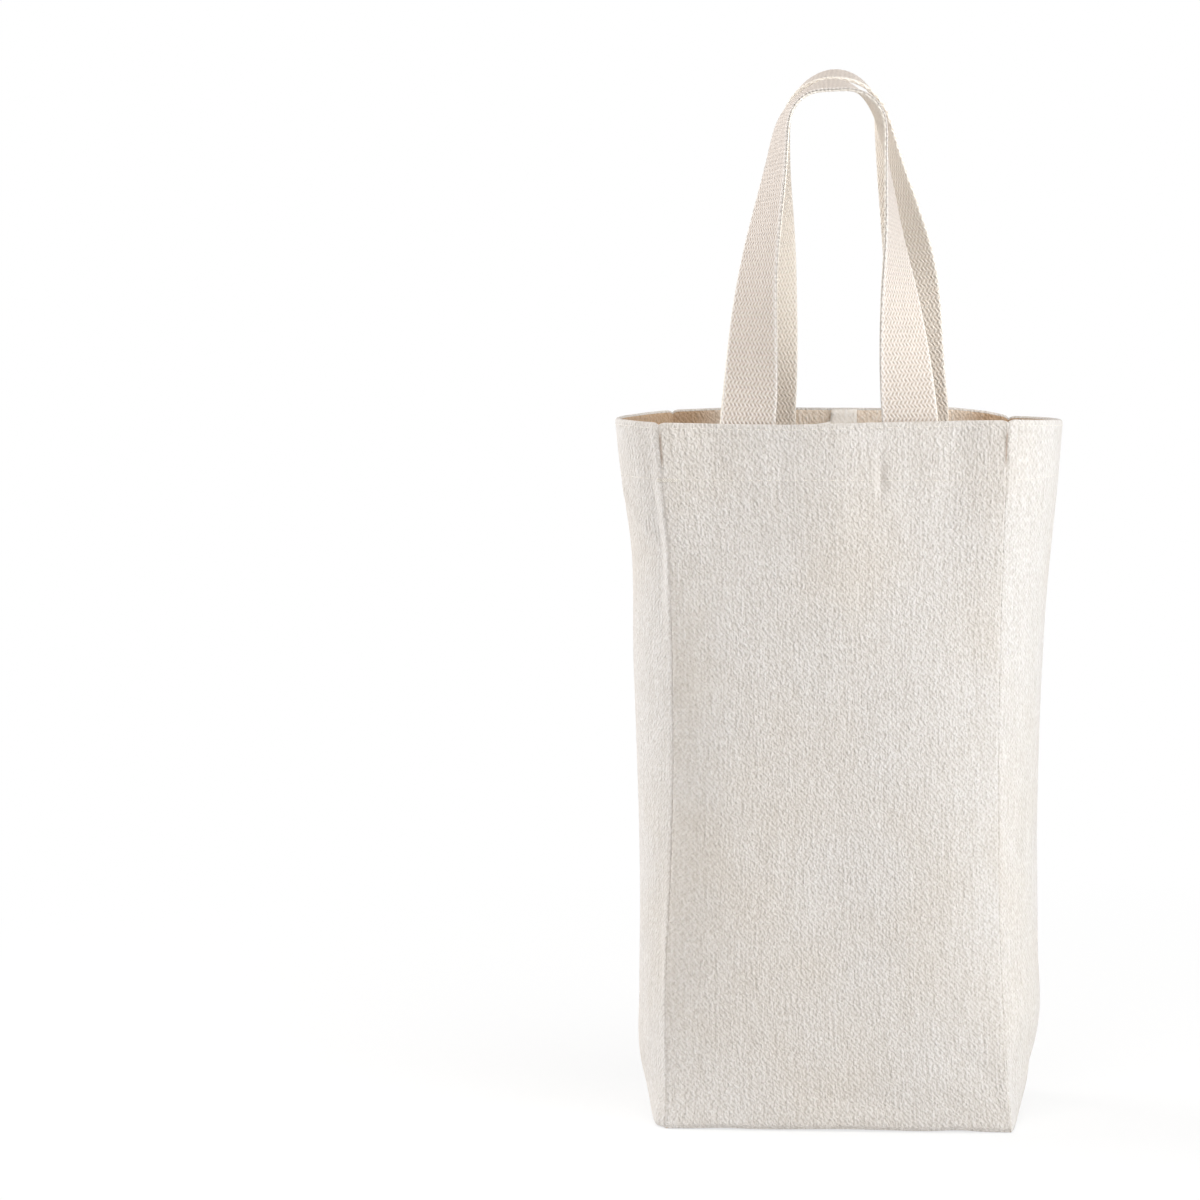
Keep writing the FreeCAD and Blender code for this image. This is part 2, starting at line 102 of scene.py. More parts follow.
# %% [markdown]
# ## Where the cloth would lie if it were smooth
# A panel bows out a little between its two seams. On one side it stays flat almost to the seam and on
# the other it rounds off early, because a soft bag never stands quite straight. A gusset is pulled into
# an arc of a circle, as a strip of cloth is when its edges come closer together. Both are written for
# the front and the right; the back and the left are the same walls turned half round.


# %% Plan of a panel and of a gusset
full_crown = 10.0                # crown, in mm, at which the panel is flattest in its middle
left_flat, right_flat = 2.6, 1.6   # what a full crown adds to the power 2 of a plain bow


def panel_plan(share, height):
    """Plan of the front panel; share runs from -1 at the left seam to 1 at the right one."""
    width, depth, crown, _ = bag_at(height)
    full = np.clip(crown / full_crown, 0, 1)
    power = 2.0 + np.where(share < 0, left_flat, right_flat) * full
    return width * share, -(depth + crown * (1 - np.abs(share) ** power))


def gusset_plan(share, height):
    """Plan of the right gusset; share runs from -1 at the front seam to 1 at the back one."""
    width, depth, _, belly = bag_at(height)
    radius = (depth**2 + belly**2) / (2 * belly)
    turn = share * np.arcsin(np.clip(depth / radius, -1, 1))
    return width + belly - radius + radius * np.cos(turn), radius * np.sin(turn)


print("front of the belly, mm:", panel_plan(0.0, 147.0)[1].round(1))

# %% [markdown]
# ## Folds
# Cloth that has been folded flat and filled again keeps soft dents. Each one is written as a hill or a
# hollow with a place, a width and a height in millimetres. A slow noise adds the small unevenness that
# no list of folds would catch. All of them fade out at the seams, where the stitching holds the cloth.


# %% Hills and hollows of the four walls
def hill(value, centre, width):
    """1 at the centre, fading to nothing on both sides."""
    return np.exp(-(((value - centre) / width) ** 2))


def step(value, start, end):
    """0 before start, 1 after end, and a soft rise between them."""
    t = np.clip((value - start) / (end - start), 0, 1)
    return t * t * (3 - 2 * t)


def along_line(x, z, start, end, width):
    """1 on the line from start to end, fading out across width and past both ends."""
    run = np.subtract(end, start)
    length = np.hypot(*run)
    along = ((x - start[0]) * run[0] + (z - start[1]) * run[1]) / length
    across = ((x - start[0]) * run[1] - (z - start[1]) * run[0]) / length
    return hill(across, 0, width) * step(along, -0.25 * length, 0.25 * length) * (
        1 - step(along, 0.75 * length, 1.25 * length))


def slow_noise(x, z, seed, wide=46.0, tall=70.0):
    """Slow unevenness between -1 and 1, in patches of about wide by tall mm."""
    flat = [noise.noise((a / wide, b / tall, seed)) for a, b in zip(np.ravel(x), np.ravel(z))]
    return np.reshape(flat, np.shape(x))


def near_rim(z):
    return step(z, 235, 318)


def off_floor(z):
    return step(z, 1, 9)


def front_folds(x, z):
    """The rim stands out like a tent between the legs of the handle, which pull it in again."""
    tent = 6.6 * np.clip(1 - np.hypot(x - 1, 5) / 62, 0, 1) - 2.8 * (1 - step(np.abs(x), 30, 78))
    return off_floor(z) * (
        tent * step(z, 150, 315)
        - 1.7 * hill(x, 21.8, 1.8) * hill(z, 298, 9)
        - 0.6 * hill(x, -24, 4) * hill(z, 300, 16)
        - 1.1 * hill(x - 0.1 * (z - 300), 55, 7) * near_rim(z)
        - 0.6 * hill(x + 0.1 * (z - 300), -52, 8) * near_rim(z)
        - 0.5 * along_line(x, z, (58, 37), (76, 18), 3.0)
        - 0.9 * along_line(x, z, (74, 20), (75, 6), 1.5)
        + 0.3 * along_line(x, z, (44, 30), (70, 6), 5.0)
        - 0.9 * along_line(x, z, (-20, 17), (34, 12), 5.0)
        + 0.55 * slow_noise(x, z, 1.3))


def back_folds(x, z):
    return off_floor(z) * (
        0.6 * hill(x, -4, 10) * near_rim(z)
        - 0.9 * hill(x, 26, 4) * hill(z, 298, 14)
        - 0.8 * hill(x + 0.1 * (z - 300), -50, 8) * near_rim(z)
        - 1.2 * along_line(x, z, (-50, 34), (-76, 12), 4.5)
        + 0.6 * slow_noise(x, z, 5.7))


def right_folds(y, z):
    return off_floor(z) * (
        0.45 * slow_noise(y, z, 9.1)
        - 0.7 * along_line(y, z, (-30, 40), (10, 12), 6.0)
        - 0.5 * hill(y - 0.2 * (z - 290), -14, 7) * step(z, 240, 318)
        - 0.6 * hill(z, 95, 35)
        - 1.8 * hill(z, 24, 16)
        + 1.6 * hill(z, 52, 16))


def left_folds(y, z):
    return 3.0 * hill(z, 1, 12) * step(y, -10, 30) + off_floor(z) * (
        0.5 * slow_noise(y, z, 12.4)
        + 1.3 * along_line(y, z, (12, 291), (34, 270), 5.0)
        - 0.8 * along_line(y, z, (16, 280), (36, 262), 5.0)
        - 1.5 * step(z, 200, 270)
        - 1.6 * hill(z, 262, 30)
        - 1.6 * hill(z, 88, 40))


print("deepest fold of the front, mm:", round(float(front_folds(np.array(21.8), np.array(298.0))), 2))

# %% [markdown]
# ## One function that knows every wall
# Cloth, stitches and handles all have to lie on the same surface, so one function gives the point of a
# wall at a share of its width, a height and a depth below its outer face. The direction outwards comes
# from two small steps on the smooth surface.

# %% The surface of a wall
seam_hold = 0.16   # share of the half width, next to a seam, over which the folds fade out
# height, and how far the front corner there stands to the right of its even place, in mm
corner_slides = {
    "left": ((0, 1.9), (14, 1.9), (32, 0.8), (59, -0.5), (82, -0.3), (113, 0.7), (168, 1.9), (222, 2.1),
             (268, 2.2), (294, 0.0), (318, -0.9)),
    "right": ((0, 2.6), (14, 2.2), (59, 0.6), (95, 0.0)),
}
# plan, half width, folds, and -1 for a wall that is turned half round
walls = {
    "front": (panel_plan, panel_half, front_folds, 1),
    "back": (panel_plan, panel_half, back_folds, -1),
    "right": (gusset_plan, gusset_half, right_folds, 1),
    "left": (gusset_plan, gusset_half, left_folds, -1),
}


def half_turn(wall):
    """What a point of the wall as written is multiplied by to stand in its place."""
    sign = walls[wall][3]
    return np.array([sign, sign, 1.0])


def smooth_point(plan, share, height):
    x, y = plan(share, height)
    return np.stack([x, y, np.broadcast_to(height, np.shape(x)) + 0.0 * x], -1)


def wall_frame(wall, share, height):
    """Points of the smooth wall, and its directions across and outwards, before the half turn."""
    plan = walls[wall][0]
    share, height = np.broadcast_arrays(np.asarray(share, float), np.asarray(height, float))
    point = smooth_point(plan, share, height)
    across = smooth_point(plan, share + 1e-3, height) - smooth_point(plan, share - 1e-3, height)
    level = np.clip(height, 1.5, rim_height - 0.5)
    upward = smooth_point(plan, share, level + 0.5) - smooth_point(plan, share, level - 0.5)
    out = np.cross(across, upward)
    return (point, across / np.linalg.norm(across, axis=-1, keepdims=True),
            out / np.linalg.norm(out, axis=-1, keepdims=True))


def wall_point(wall, share, height, below=0.0):
    """A point of the wall with its folds, below mm under the outer face, before the half turn."""
    _, half, folds, _ = walls[wall]
    share, height = np.broadcast_arrays(np.asarray(share, float), np.asarray(height, float))
    point, _, out = wall_frame(wall, share, height)
    free = step(1 - np.abs(share), 0.0, seam_hold)
    return point + out * (folds(share * half, height) * free - below)[..., None]


def slid(points):
    """Moves points with the front corners; the back stays where it is."""
    at_front = np.clip(-points[..., 1] / gusset_half, 0, 1)
    at_right = np.clip(points[..., 0] / panel_half, -1, 1) / 2 + 0.5
    left, right = (np.interp(points[..., 2], *zip(*corner_slides[side])) for side in ("left", "right"))
    slide = at_front * (left + (right - left) * at_right)
    return points + slide[..., None] * np.array([1.0, 0.0, 0.0])


def turned(points, wall):
    """Turns the front to the back and the right to the left, then moves the front corners."""
    return slid(points * half_turn(wall))


def inside_panel(wall, x, height, below):
    """A point below mm under the outer face of the front or back panel at x, and the direction outwards."""
    share = np.asarray(x, float) * walls[wall][3] / panel_half
    point, out = wall_point(wall, share, height, below), wall_frame(wall, share, height)[2]
    return point * half_turn(wall), out * half_turn(wall)


print("front wall at the belly, mm:", wall_point("front", 0.0, 147.0).round(1))

# %% [markdown]
# ## Laying a sheet of canvas
# Each wall starts as Blender's flat grid, the way the cloth starts on the cutting table, and every point
# of the grid is then laid on the surface. The grid keeps its flat place as a UV map in millimetres, so
# the weave follows the cloth round every fold. A Solidify modifier gives the canvas its thickness.

# %% Grid to cloth
WEAVE_SPAN = 400.0     # the UV map counts the cloth in spans of 400 mm, so it stays between 0 and 1
cloth_middle = 165.0   # height on a wall that lies in the middle of the UV map, in mm


def on_cloth(across, along):
    """Place on the flat cloth in mm from its middle."""
    return np.stack(np.broadcast_arrays(across, along - cloth_middle), -1)


def lay_grid(name, points, flat, thick=canvas_thick):
    """A grid laid on points, an array of columns by rows in mm, with flat as its place on the cloth."""
    columns, rows = points.shape[:2]
    bpy.ops.object.select_all(action="DESELECT")
    bpy.ops.mesh.primitive_grid_add(x_subdivisions=columns - 1, y_subdivisions=rows - 1, size=2)
    sheet = bpy.context.object
    sheet.name = sheet.data.name = name
    mesh = sheet.data
    start = np.empty(len(mesh.vertices) * 3)
    mesh.vertices.foreach_get("co", start)
    place = (start.reshape(-1, 3)[:, :2] + 1) / 2
    column = np.rint(place[:, 0] * (columns - 1)).astype(int)
    row = np.rint(place[:, 1] * (rows - 1)).astype(int)
    mesh.vertices.foreach_set("co", (points[column, row] * MM).ravel())
    corner = np.empty(len(mesh.loops), int)
    mesh.loops.foreach_get("vertex_index", corner)
    spot = 0.5 + flat[column, row][corner] / WEAVE_SPAN
    mesh.uv_layers[0].data.foreach_set("uv", spot.ravel())
    mesh.update()
    if thick:
        outer = len(mesh.polygons)
        wall = sheet.modifiers.new("thickness", "SOLIDIFY")
        wall.thickness, wall.offset = thick * MM, 0.0
        bpy.ops.object.modifier_apply(modifier="thickness")
        sheet["outer_faces"] = outer
    bpy.ops.object.shade_smooth()
    return sheet


# %% [markdown]
# ## The four walls
# A real wall is one strip of canvas. Its foot turns under in a small bead and is sewn to the base, its
# sides turn in at the seams and run on inside as seam allowances, and its top folds over the rim and
# comes down inside as a hem. The same strip is laid here: rows that climb the wall, go round the rim and
# come down again, and columns that turn in at both seams.

# %% Rows of a wall
base_top = 1.6       # upper face of the base
rim_roll = 0.55      # radius of the fold at the rim
seam_roll = 1.6      # how far from the seam a wall starts to turn in
seam_gap = 0.55      # from the seam's plane to the middle of an allowance
allowance = 8.0
foot_room, hem_room = 0.2, 0.05   # share of the allowance that fits in at the foot and in the hem

# height, depth below the outer face and place on the cloth, from the sewn edge to the foot of the wall
foot_rows = [(2.1, 8.6, -11.0), (2.1, 6.0, -8.5), (2.1, 3.9, -6.4), (1.95, 3.1, -5.6), (1.5, 2.6, -4.9),
             (1.0, 2.3, -4.3), (0.78, 1.8, -3.7), (0.74, 1.3, -3.2), (0.85, 0.9, -2.7), (1.2, 0.6, -2.2)]


def wall_rows():
    """Height, depth below the outer face, length along the strip and room for the allowance."""
    half = canvas_thick / 2
    rows = [(*foot_row, foot_room) for foot_row in foot_rows]
    fold_start = rim_height - half - rim_roll
    for height in np.linspace(2.4, fold_start, 208):
        room = 1 - 0.93 * step(height, rim_height - hem_depth - 6, rim_height - hem_depth)
        rows.append((height, half, height, room))
    for turn in np.radians(np.linspace(30, 180, 6)):
        rows.append((fold_start + rim_roll * math.sin(turn), half + rim_roll * (1 - math.cos(turn)),
                     fold_start + rim_roll * turn, hem_room))
    for drop in np.linspace(1.5, hem_depth - 1, 16):
        rows.append((fold_start - drop, half + 2 * rim_roll, fold_start + 2 + drop, hem_room))
    return np.array(rows).T


print("a wall has", wall_rows().shape[1], "rows")

# %% Rim and foot
# place along the wall from its middle, and how far the rim lies above its even height there
rim_rows = {
    "front": ((-79, 2.0), (-50, 1.7), (-20, 1.1), (16, 2.2), (57, 3.2), (79, 3.2)),
    "back": ((-79, -0.3), (-76, 0.3), (-68, 2.0), (-52, 4.0), (-40, 3.9), (0, 3.4), (57, 3.2), (79, 2.5)),
    "right": ((-51, 3.6), (-20, 1.8), (0, 0.5), (51, -0.4)),
    "left": ((-51, 2.3), (0, 1.5), (51, 2.0)),
}


def rim_line(wall, share):
    """How far the rim lies above its even height: a leaning line, a slow wave and round corners."""
    half = walls[wall][1]
    place = np.asarray(share) * half
    free = 1 - step(np.abs(place), half - 28, half - 4)
    corner = np.clip((np.abs(place) - (half - 3.5)) / 3.5, 0, 1)
    wave = [noise.noise((s / 38, 3.7, len(wall) * 1.9)) for s in np.ravel(place)]
    lift = np.interp(place, *zip(*rim_rows[wall]))
    return lift + 0.5 * free * np.reshape(wave, np.shape(place)) - 1.3 * corner**2


def rim_share(height):
    """How much of the rim's line a height follows: all at the rim, nothing 30 mm lower."""
    return step(height, rim_height - 30, rim_height - 1)


def foot_line(wall, share):
    """How far the foot of a wall stands off the floor."""
    x = share * walls[wall][1]
    if wall != "front":
        return 0.3 * hill(x, 10, 22)
    return 0.45 * hill(x, -52, 11) + 0.55 * hill(x, 4, 24) + 0.7 * hill(x, 54, 9)


# %% One wall
column_step = 1.3   # mm between two columns of a wall's grid


def seam_columns(wall, side, rows, edge):
    """Columns that turn in at a seam and run on as its allowance, and their places on the cloth."""
    height, below, along, room = rows
    half = walls[wall][1]
    width, depth, _, _ = bag_at(height)
    if wall in ("front", "back"):
        seam = np.stack([width * side, -depth, height], -1)
        inward, away = np.array([(-side, 1, 0), (-side, -1, 0)]) / math.sqrt(2)
    else:
        seam = np.stack([width, depth * side, height], -1)
        inward, away = np.array([(-1, -side, 0), (1, -side, 0)]) / math.sqrt(2)
    seam[:, 2] += rim_line(wall, np.array(float(side))) * rim_share(height)
    corner = seam - wall_frame(wall, side, height)[2] * below[:, None]
    inner = seam + inward * seam_roll + away * seam_gap
    columns, spread = [], []
    for t in np.linspace(0.14, 1, 7):
        columns.append((1 - t) ** 2 * edge + 2 * t * (1 - t) * corner + t**2 * inner)
        spread.append(half - seam_roll + 2 * seam_roll * t)
    for run in np.linspace(0.25, 1, 4):
        columns.append(inner + inward * (allowance - seam_roll) * run * room[:, None])
        spread.append(half + seam_roll + (allowance - seam_roll) * run)
    return columns, [on_cloth(side * s, along) for s in spread]


def canvas_wall(name, wall):
    """One wall of the bag as a sheet of canvas with foot, hem and seam allowances."""
    rows = wall_rows()
    height, below, along, _ = rows
    half = walls[wall][1]
    at_rim, at_foot = rim_share(height), 1 - step(height, 1, 14)
    columns, flat = [], []
    for share in np.linspace(-1, 1, int(half * 2 / column_step)) * (1 - seam_roll / half):
        lifted = height + rim_line(wall, np.array(share)) * at_rim + foot_line(wall, share) * at_foot
        columns.append(wall_point(wall, share, lifted, below))
        flat.append(on_cloth(share * half, along))
    first, first_flat = seam_columns(wall, -1, rows, columns[0])
    last, last_flat = seam_columns(wall, 1, rows, columns[-1])
    columns, flat = first[::-1] + columns + last, first_flat[::-1] + flat + last_flat
    sheet = lay_grid(name, turned(np.array(columns), wall), np.array(flat))
    print(name, "has", len(sheet.data.polygons), "faces")
    return sheet


# %% Lay the walls
wall_names = {"front": "front_panel", "back": "back_panel", "left": "left_gusset", "right": "right_gusset"}
canvas_pieces = []


def sew_in(piece, node):
    """The piece moves with the bag and stands for the CAD node."""
    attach(piece, "bag")
    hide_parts(node)
    return piece


for wall, node in wall_names.items():
    canvas_pieces.append(sew_in(canvas_wall(node + "_canvas", wall), node))

# %% [markdown]
# ## The base
# The base is a rectangle of the same canvas, sewn to the walls behind the bead of their feet. It shows
# only from below, as a whole sheet, so it gets a slow swell and a slightly wavy edge.

# %% Base panel
base_low, base_high = (np.array(corner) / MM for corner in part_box("base_panel"))
base_inset = 3.3   # from the foot of a wall to the edge of the base
base_lip = 3.0     # width of the wavy edge


def base_sheet():
    half_x, half_y = panel_half - base_inset, gusset_half - base_inset
    x, y = np.meshgrid(np.linspace(-1, 1, 100), np.linspace(-1, 1, 66), indexing="ij")
    edge = np.maximum(np.abs(x) - 1 + base_lip / half_x, np.abs(y) - 1 + base_lip / half_y)
    lip = 0.3 * step(edge, 0, base_lip / half_y) * (1 + slow_noise(x * half_x, y * half_y, 2.2, 22, 22))
    swell = 0.5 * step(1 - np.maximum(np.abs(x), np.abs(y)), 0, 0.3)
    z = canvas_thick / 2 + 0.05 + lip + swell
    points = np.stack([x * half_x, y * half_y, z], -1)
    return lay_grid("base_panel_canvas", turned(points, "front"), points[..., :2])


base = sew_in(base_sheet(), "base_panel")
canvas_pieces.append(base)
print("base, mm:", (base_high - base_low).round(1))

# %% [markdown]
# ## The divider
# A sheet of canvas stands between the two bottles. Its foot is sewn into the base and its front and back
# edges to the panels, where it turns aside in a tab. The back tab reaches up to the rim. The sheet is cut
# a little wide, so it hangs in a lazy S and its top edge leans. A cloth simulation would find an S of its
# own, but this one has to lie where the real one does, so it is written as a lean and a slow wave.

# %% Divider sheet
divider_foot = base_top + 1.2
divider_drop = 3.0          # from the rim down to the top edge
divider_lean = -5.0         # sideways swing of the top edge
divider_wave = 2.2
divider_shift = -4.8        # how far the top stands left of the middle
divider_short = 1.5         # from the wall to where the sheet starts to turn
divider_bend = (0.15, 0.9)    # the turn into the tab, sideways and towards the wall
divider_tab = (0.9, 12.6)   # where the tab starts and ends, sideways from the sheet
divider_tab_rise = 5.6      # how far the back tab stands above the top edge
divider_tab_lean = 1.6      # how far the tab's top leans off the wall
divider_cloth, tab_cloth = 45.0, 1.4   # half the sheet and one step of the tab on the flat cloth


def divider_reach(height, side, x=0.0):
    """How far the divider reaches to the inner face of the front (-1) or back (1) panel or of its hem."""
    hem = step(height, rim_height - hem_depth - 2, rim_height - hem_depth)
    below = canvas_thick * (1.5 + 1.15 * hem) + 0.1
    return side * inside_panel("front" if side < 0 else "back", x, height, below)[0][..., 1]


def divider_sheet():
    share, rise = np.meshgrid(np.linspace(-1, 1, 70), np.linspace(0, 1, 160), indexing="ij")
    height = divider_foot + rise * (rim_height - divider_drop - divider_foot)
    reach = np.where(share < 0, divider_reach(height, -1), divider_reach(height, 1))
    slack = step(1 - np.abs(share), 0, 0.5) * step(rise, 0, 0.15)
    lean = divider_lean * step(rise, 0.55, 1.0) * np.sin(np.pi * (share * 0.75 + 0.1))
    wave = divider_wave * slow_noise(share * divider_cloth, height, 7.3, 34, 90)
    aside = divider_shift * step(rise, 0.6, 1.0)
    x = aside + slack * (lean + wave)
    middle = np.stack([x, share * (reach - divider_short), height], -1)
    flat = on_cloth(share * divider_cloth, height)
    tabs = []
    for side in (-1, 1):
        edge = middle[0 if side < 0 else -1]
        lean_in = divider_tab_lean * hill(height[0], rim_height - 10, 7)
        bent = [edge + [divider_bend[0], side * divider_bend[1], 0]]
        top = height[0] + (divider_tab_rise if side > 0 else 0.0) * step(rise[0], 0.93, 1.0)
        for run in np.linspace(*divider_tab, 9):
            tab_x = aside[0] + run
            wall_y = side * (divider_reach(height[0], side, tab_x) - lean_in)
            bent.append(np.stack([tab_x, wall_y, top], -1))
        laid = [on_cloth(side * (divider_cloth + tab_cloth * i), height[0]) for i in range(1, 11)]
        tabs.append((np.array(bent), np.array(laid)))
    points = np.concatenate([tabs[0][0][::-1], middle, tabs[1][0]])
    return lay_grid("divider_canvas", points, np.concatenate([tabs[0][1][::-1], flat, tabs[1][1]]))


divider = sew_in(divider_sheet(), "divider")
canvas_pieces.append(divider)
print("divider laid,", len(divider.data.polygons), "faces")

# %% [markdown]
# ## Webbing handles
# Each handle is one length of cotton webbing. Its two ends are sewn flat inside the hem, and between
# them it rises, turns a quarter about its own length and bends over in an arch. A ribbon like this can
# be made with a curve and a bevel, but the turn is easier to steer point by point: a grid is wrapped
# round a thin rounded section, and the section is carried along the handle's line.

# %% Line of a handle
webbing_width = 25.4
webbing_thick = 1.8
handle_parting = 0.8   # between the two handles, where they meet in the arch
end_length = 29.0      # of the sewn end inside the hem
hem_face = 2 * canvas_thick + 0.15   # depth of the hem's inner face below the outer face of the wall
end_rows, leg_rows = 13, 84


def leg_path(spread, rise, leg):
    """One leg in the plane of its handle: length run, place across and along, and angle of the way out."""
    radius = leg["arch"]
    centre = rise - radius
    reach = math.hypot(spread, centre)
    straight = math.sqrt(reach**2 - radius**2)
    heading = math.atan2(centre, -spread) - math.asin(radius / reach)
    arch_start = heading - math.pi / 2
    run = np.linspace(0, straight + radius * (math.pi / 2 - arch_start), leg_rows)
    aim = arch_start + np.maximum(run - straight, 0) / radius
    on_leg = np.minimum(run, straight)
    across = np.where(run < straight, spread + on_leg * math.cos(heading), radius * np.cos(aim))
    across += leg["bow"] * np.sin(np.pi * on_leg / straight) ** 2
    along = np.where(run < straight, on_leg * math.sin(heading), centre + radius * np.sin(aim))
    return run, across, along, aim


def handle_half_line(wall, side, top, rise, leg):
    """One half of a handle, from its sewn end inside the hem to the top of the arch, as if at the front."""
    sideways = np.array([side * 1.0, 0.0, 0.0])
    heights = np.linspace(rim_height - end_length, rim_height - 0.5, end_rows)
    mirror = np.array([1.0, walls[wall][3], 1.0])
    below = hem_face + webbing_thick / 2
    sewn, sewn_face = (v * mirror for v in inside_panel(wall, leg["foot"], heights, below))
    sewn[:, 0] = leg["foot"]
    start = np.array([top, sewn[-1, 1] + 0.25, rim_height + 1.5])
    apex = np.array([top, -(webbing_width + handle_parting) / 2, rim_height + rise])
    height = np.linalg.norm(apex - start)
    up = (apex - start) / height
    outward = np.cross([1.0, 0.0, 0.0], up)
    run, across, along, aim = leg_path(abs(leg["foot"] - top), height, leg)
    place = start + across[:, None] * sideways + along[:, None] * up
    lean_in = (aim * step(run, 0, 14))[:, None]
    away = np.cos(lean_in) * sideways + np.sin(lean_in) * up
    turn = np.pi / 2 * np.interp(run / run[-1], *zip(*leg["turns"]))[:, None]
    face = outward * np.cos(turn) + away * np.sin(turn)
    edge = outward * np.sin(turn) - away * np.cos(turn)
    sewn_edge = np.tile(-sideways, (end_rows, 1))
    return np.vstack([sewn, place]), np.vstack([sewn_face, face]), np.vstack([sewn_edge, edge])


# %% Legs of the handles
# foot of each leg, radius of its half of the arch, outward bow, and share of a quarter turn along the leg
handle_legs = {
    "front": {"top": -1.2, "rise": 153.5, "legs": (
        {"foot": -39.0, "arch": 23.8, "bow": 2.9,
         "turns": ((0, 0), (0.2, 0.27), (0.4, 0.485), (0.65, 0.685), (0.8, 0.81), (0.86, 0.87),
                   (0.9, 0.88), (0.94, 0.84), (1, 0.74))},
        {"foot": 34.4, "arch": 23.0, "bow": 0.4,
         "turns": ((0, 0.05), (0.1, 0.2), (0.22, 0.38), (0.33, 0.54), (0.465, 0.76), (0.54, 0.85),
                   (0.68, 0.97), (0.77, 1.05), (0.83, 1.1), (0.9, 1.0), (0.95, 0.85), (1, 0.74))})},
    "back": {"top": -1.4, "rise": 158.2, "legs": (
        {"foot": -33.4, "arch": 22.8, "bow": 0.6,
         "turns": ((0, 0), (0.2, 0.27), (0.4, 0.5), (0.5, 0.64), (0.63, 0.84), (0.75, 0.95),
                   (0.85, 0.94), (0.93, 0.95), (1, 1))},
        {"foot": 38.0, "arch": 22.0, "bow": 3.4,
         "turns": ((0, 0), (0.3, 0.07), (0.41, 0.19), (0.56, 0.46), (0.68, 0.65), (0.77, 0.76),
                   (0.87, 0.88), (0.94, 0.95), (1, 1))})},
}
front_legs = handle_legs["front"]
line = handle_half_line("front", 1, front_legs["top"], front_legs["rise"], front_legs["legs"][1])
print("one half of the front handle rises to", line[0][-1].round(1), "mm")

# %% [markdown]
# ## Section of the webbing
# Webbing is flat with two rounded selvages. The section below goes once round the strap; laid along the
# line it makes a tube, whose first and last columns are then merged and whose two ends are filled.


# %% Wrap the webbing round its line
inner_face_at = 60.0   # where the UV map holds the face that looks into the loop, in mm
strap_middle = 195.0   # length along the strap that lies in the middle of the UV map, in mm
flat_share = 0.94      # share of the width that is flat; the rest is the two round selvages
smooth_passes = 10     # how often the line is evened out


def webbing_section():
    """Places round the strap: share of the width, and height in half thicknesses."""
    flat = np.linspace(-1, 1, 25) * flat_share
    round_end = np.radians(np.linspace(90, -90, 7))[1:-1]
    top = [(s, 1.0) for s in flat]
    right = [(flat_share + (1 - flat_share) * math.cos(a), math.sin(a)) for a in round_end]
    bottom = [(-s, -1.0) for s in flat]
    left = [(-x, -y) for x, y in right]
    return np.array(top + right + bottom + left + top[:1])


def evened(values, passes):
    """Takes the kinks out of a line without moving its ends."""
    for _ in range(passes):
        values[1:-1] = (values[:-2] + 2 * values[1:-1] + values[2:]) / 4
    return values


def webbing_strap(name, wall, legs):
    """A whole handle: both halves of its line joined at the arch, with the section carried along it."""
    halves = [handle_half_line(wall, side, legs["top"], legs["rise"], leg)
              for side, leg in zip((-1, 1), legs["legs"])]
    place, face, edge = (np.vstack([a, b[-2::-1]]) for a, b in zip(*halves))
    place, face, edge = (evened(v, smooth_passes) for v in (place, face, edge))
    face /= np.linalg.norm(face, axis=1, keepdims=True)
    edge -= face * np.sum(edge * face, axis=1, keepdims=True)
    edge /= np.linalg.norm(edge, axis=1, keepdims=True)
    run = np.concatenate([[0], np.cumsum(np.linalg.norm(np.diff(place, axis=0), axis=1))])
    section = webbing_section()
    points = (place[None] + edge[None] * (section[:, None, :1] * webbing_width / 2)
              + face[None] * (section[:, None, 1:] * webbing_thick / 2))
    if wall == "back":
        points = points * np.array([1.0, -1.0, 1.0])
    steps = np.diff(section, axis=0) * [webbing_width / 2, webbing_thick / 2]
    round_it = np.concatenate([[0], np.cumsum(np.hypot(*steps.T))])
    half_round = round_it[-1] / 2
    from_edge = (round_it + (half_round - flat_share * webbing_width) / 2)[:, None]
    across = half_round / 2 - np.abs(from_edge - half_round) + inner_face_at * (from_edge > half_round)
    flat = np.stack(np.broadcast_arrays(across, run[None] - strap_middle), -1)
    strap = lay_grid(name, points, flat, None)
    bpy.ops.object.mode_set(mode="EDIT")
    bpy.ops.mesh.select_all(action="SELECT")
    bpy.ops.mesh.remove_doubles(threshold=1e-6)
    bpy.ops.mesh.fill_holes(sides=0)
    bpy.ops.mesh.select_all(action="SELECT")
    bpy.ops.mesh.normals_make_consistent(inside=False)
    bpy.ops.object.mode_set(mode="OBJECT")
    print(name, "is", round(run[-1]), "mm long, with", len(strap.data.polygons), "faces")
    return strap


# %% [markdown]
# ## Both handles
# A handle hangs down when it is let go. Its ends stay sewn to the bag and its loop turns over the rim.
# Each strap is made whole, as splitting it at the rim would open a gap there, and it stands up over the bag.

# %% Both handles
straps = {}
for wall, legs in handle_legs.items():
    body = wall + "_handle"
    strap = webbing_strap(body + "_webbing", wall, legs)
    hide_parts(body, body + "_left_end", body + "_right_end")
    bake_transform(strap)
    straps[wall] = strap

# %% [markdown]
# ## Stitches
# Cotton thread shows as a row of small rice grains that sink into the cloth at both ends. One stitch is
# made from a ball that is drawn out long, and the rows are copies of it, each with its own mesh, joined
# into one piece for each seam.

# %% One stitch and its copies
stitch_length = 3.0
stitch_pitch = 4.2
thread_thick = 0.5


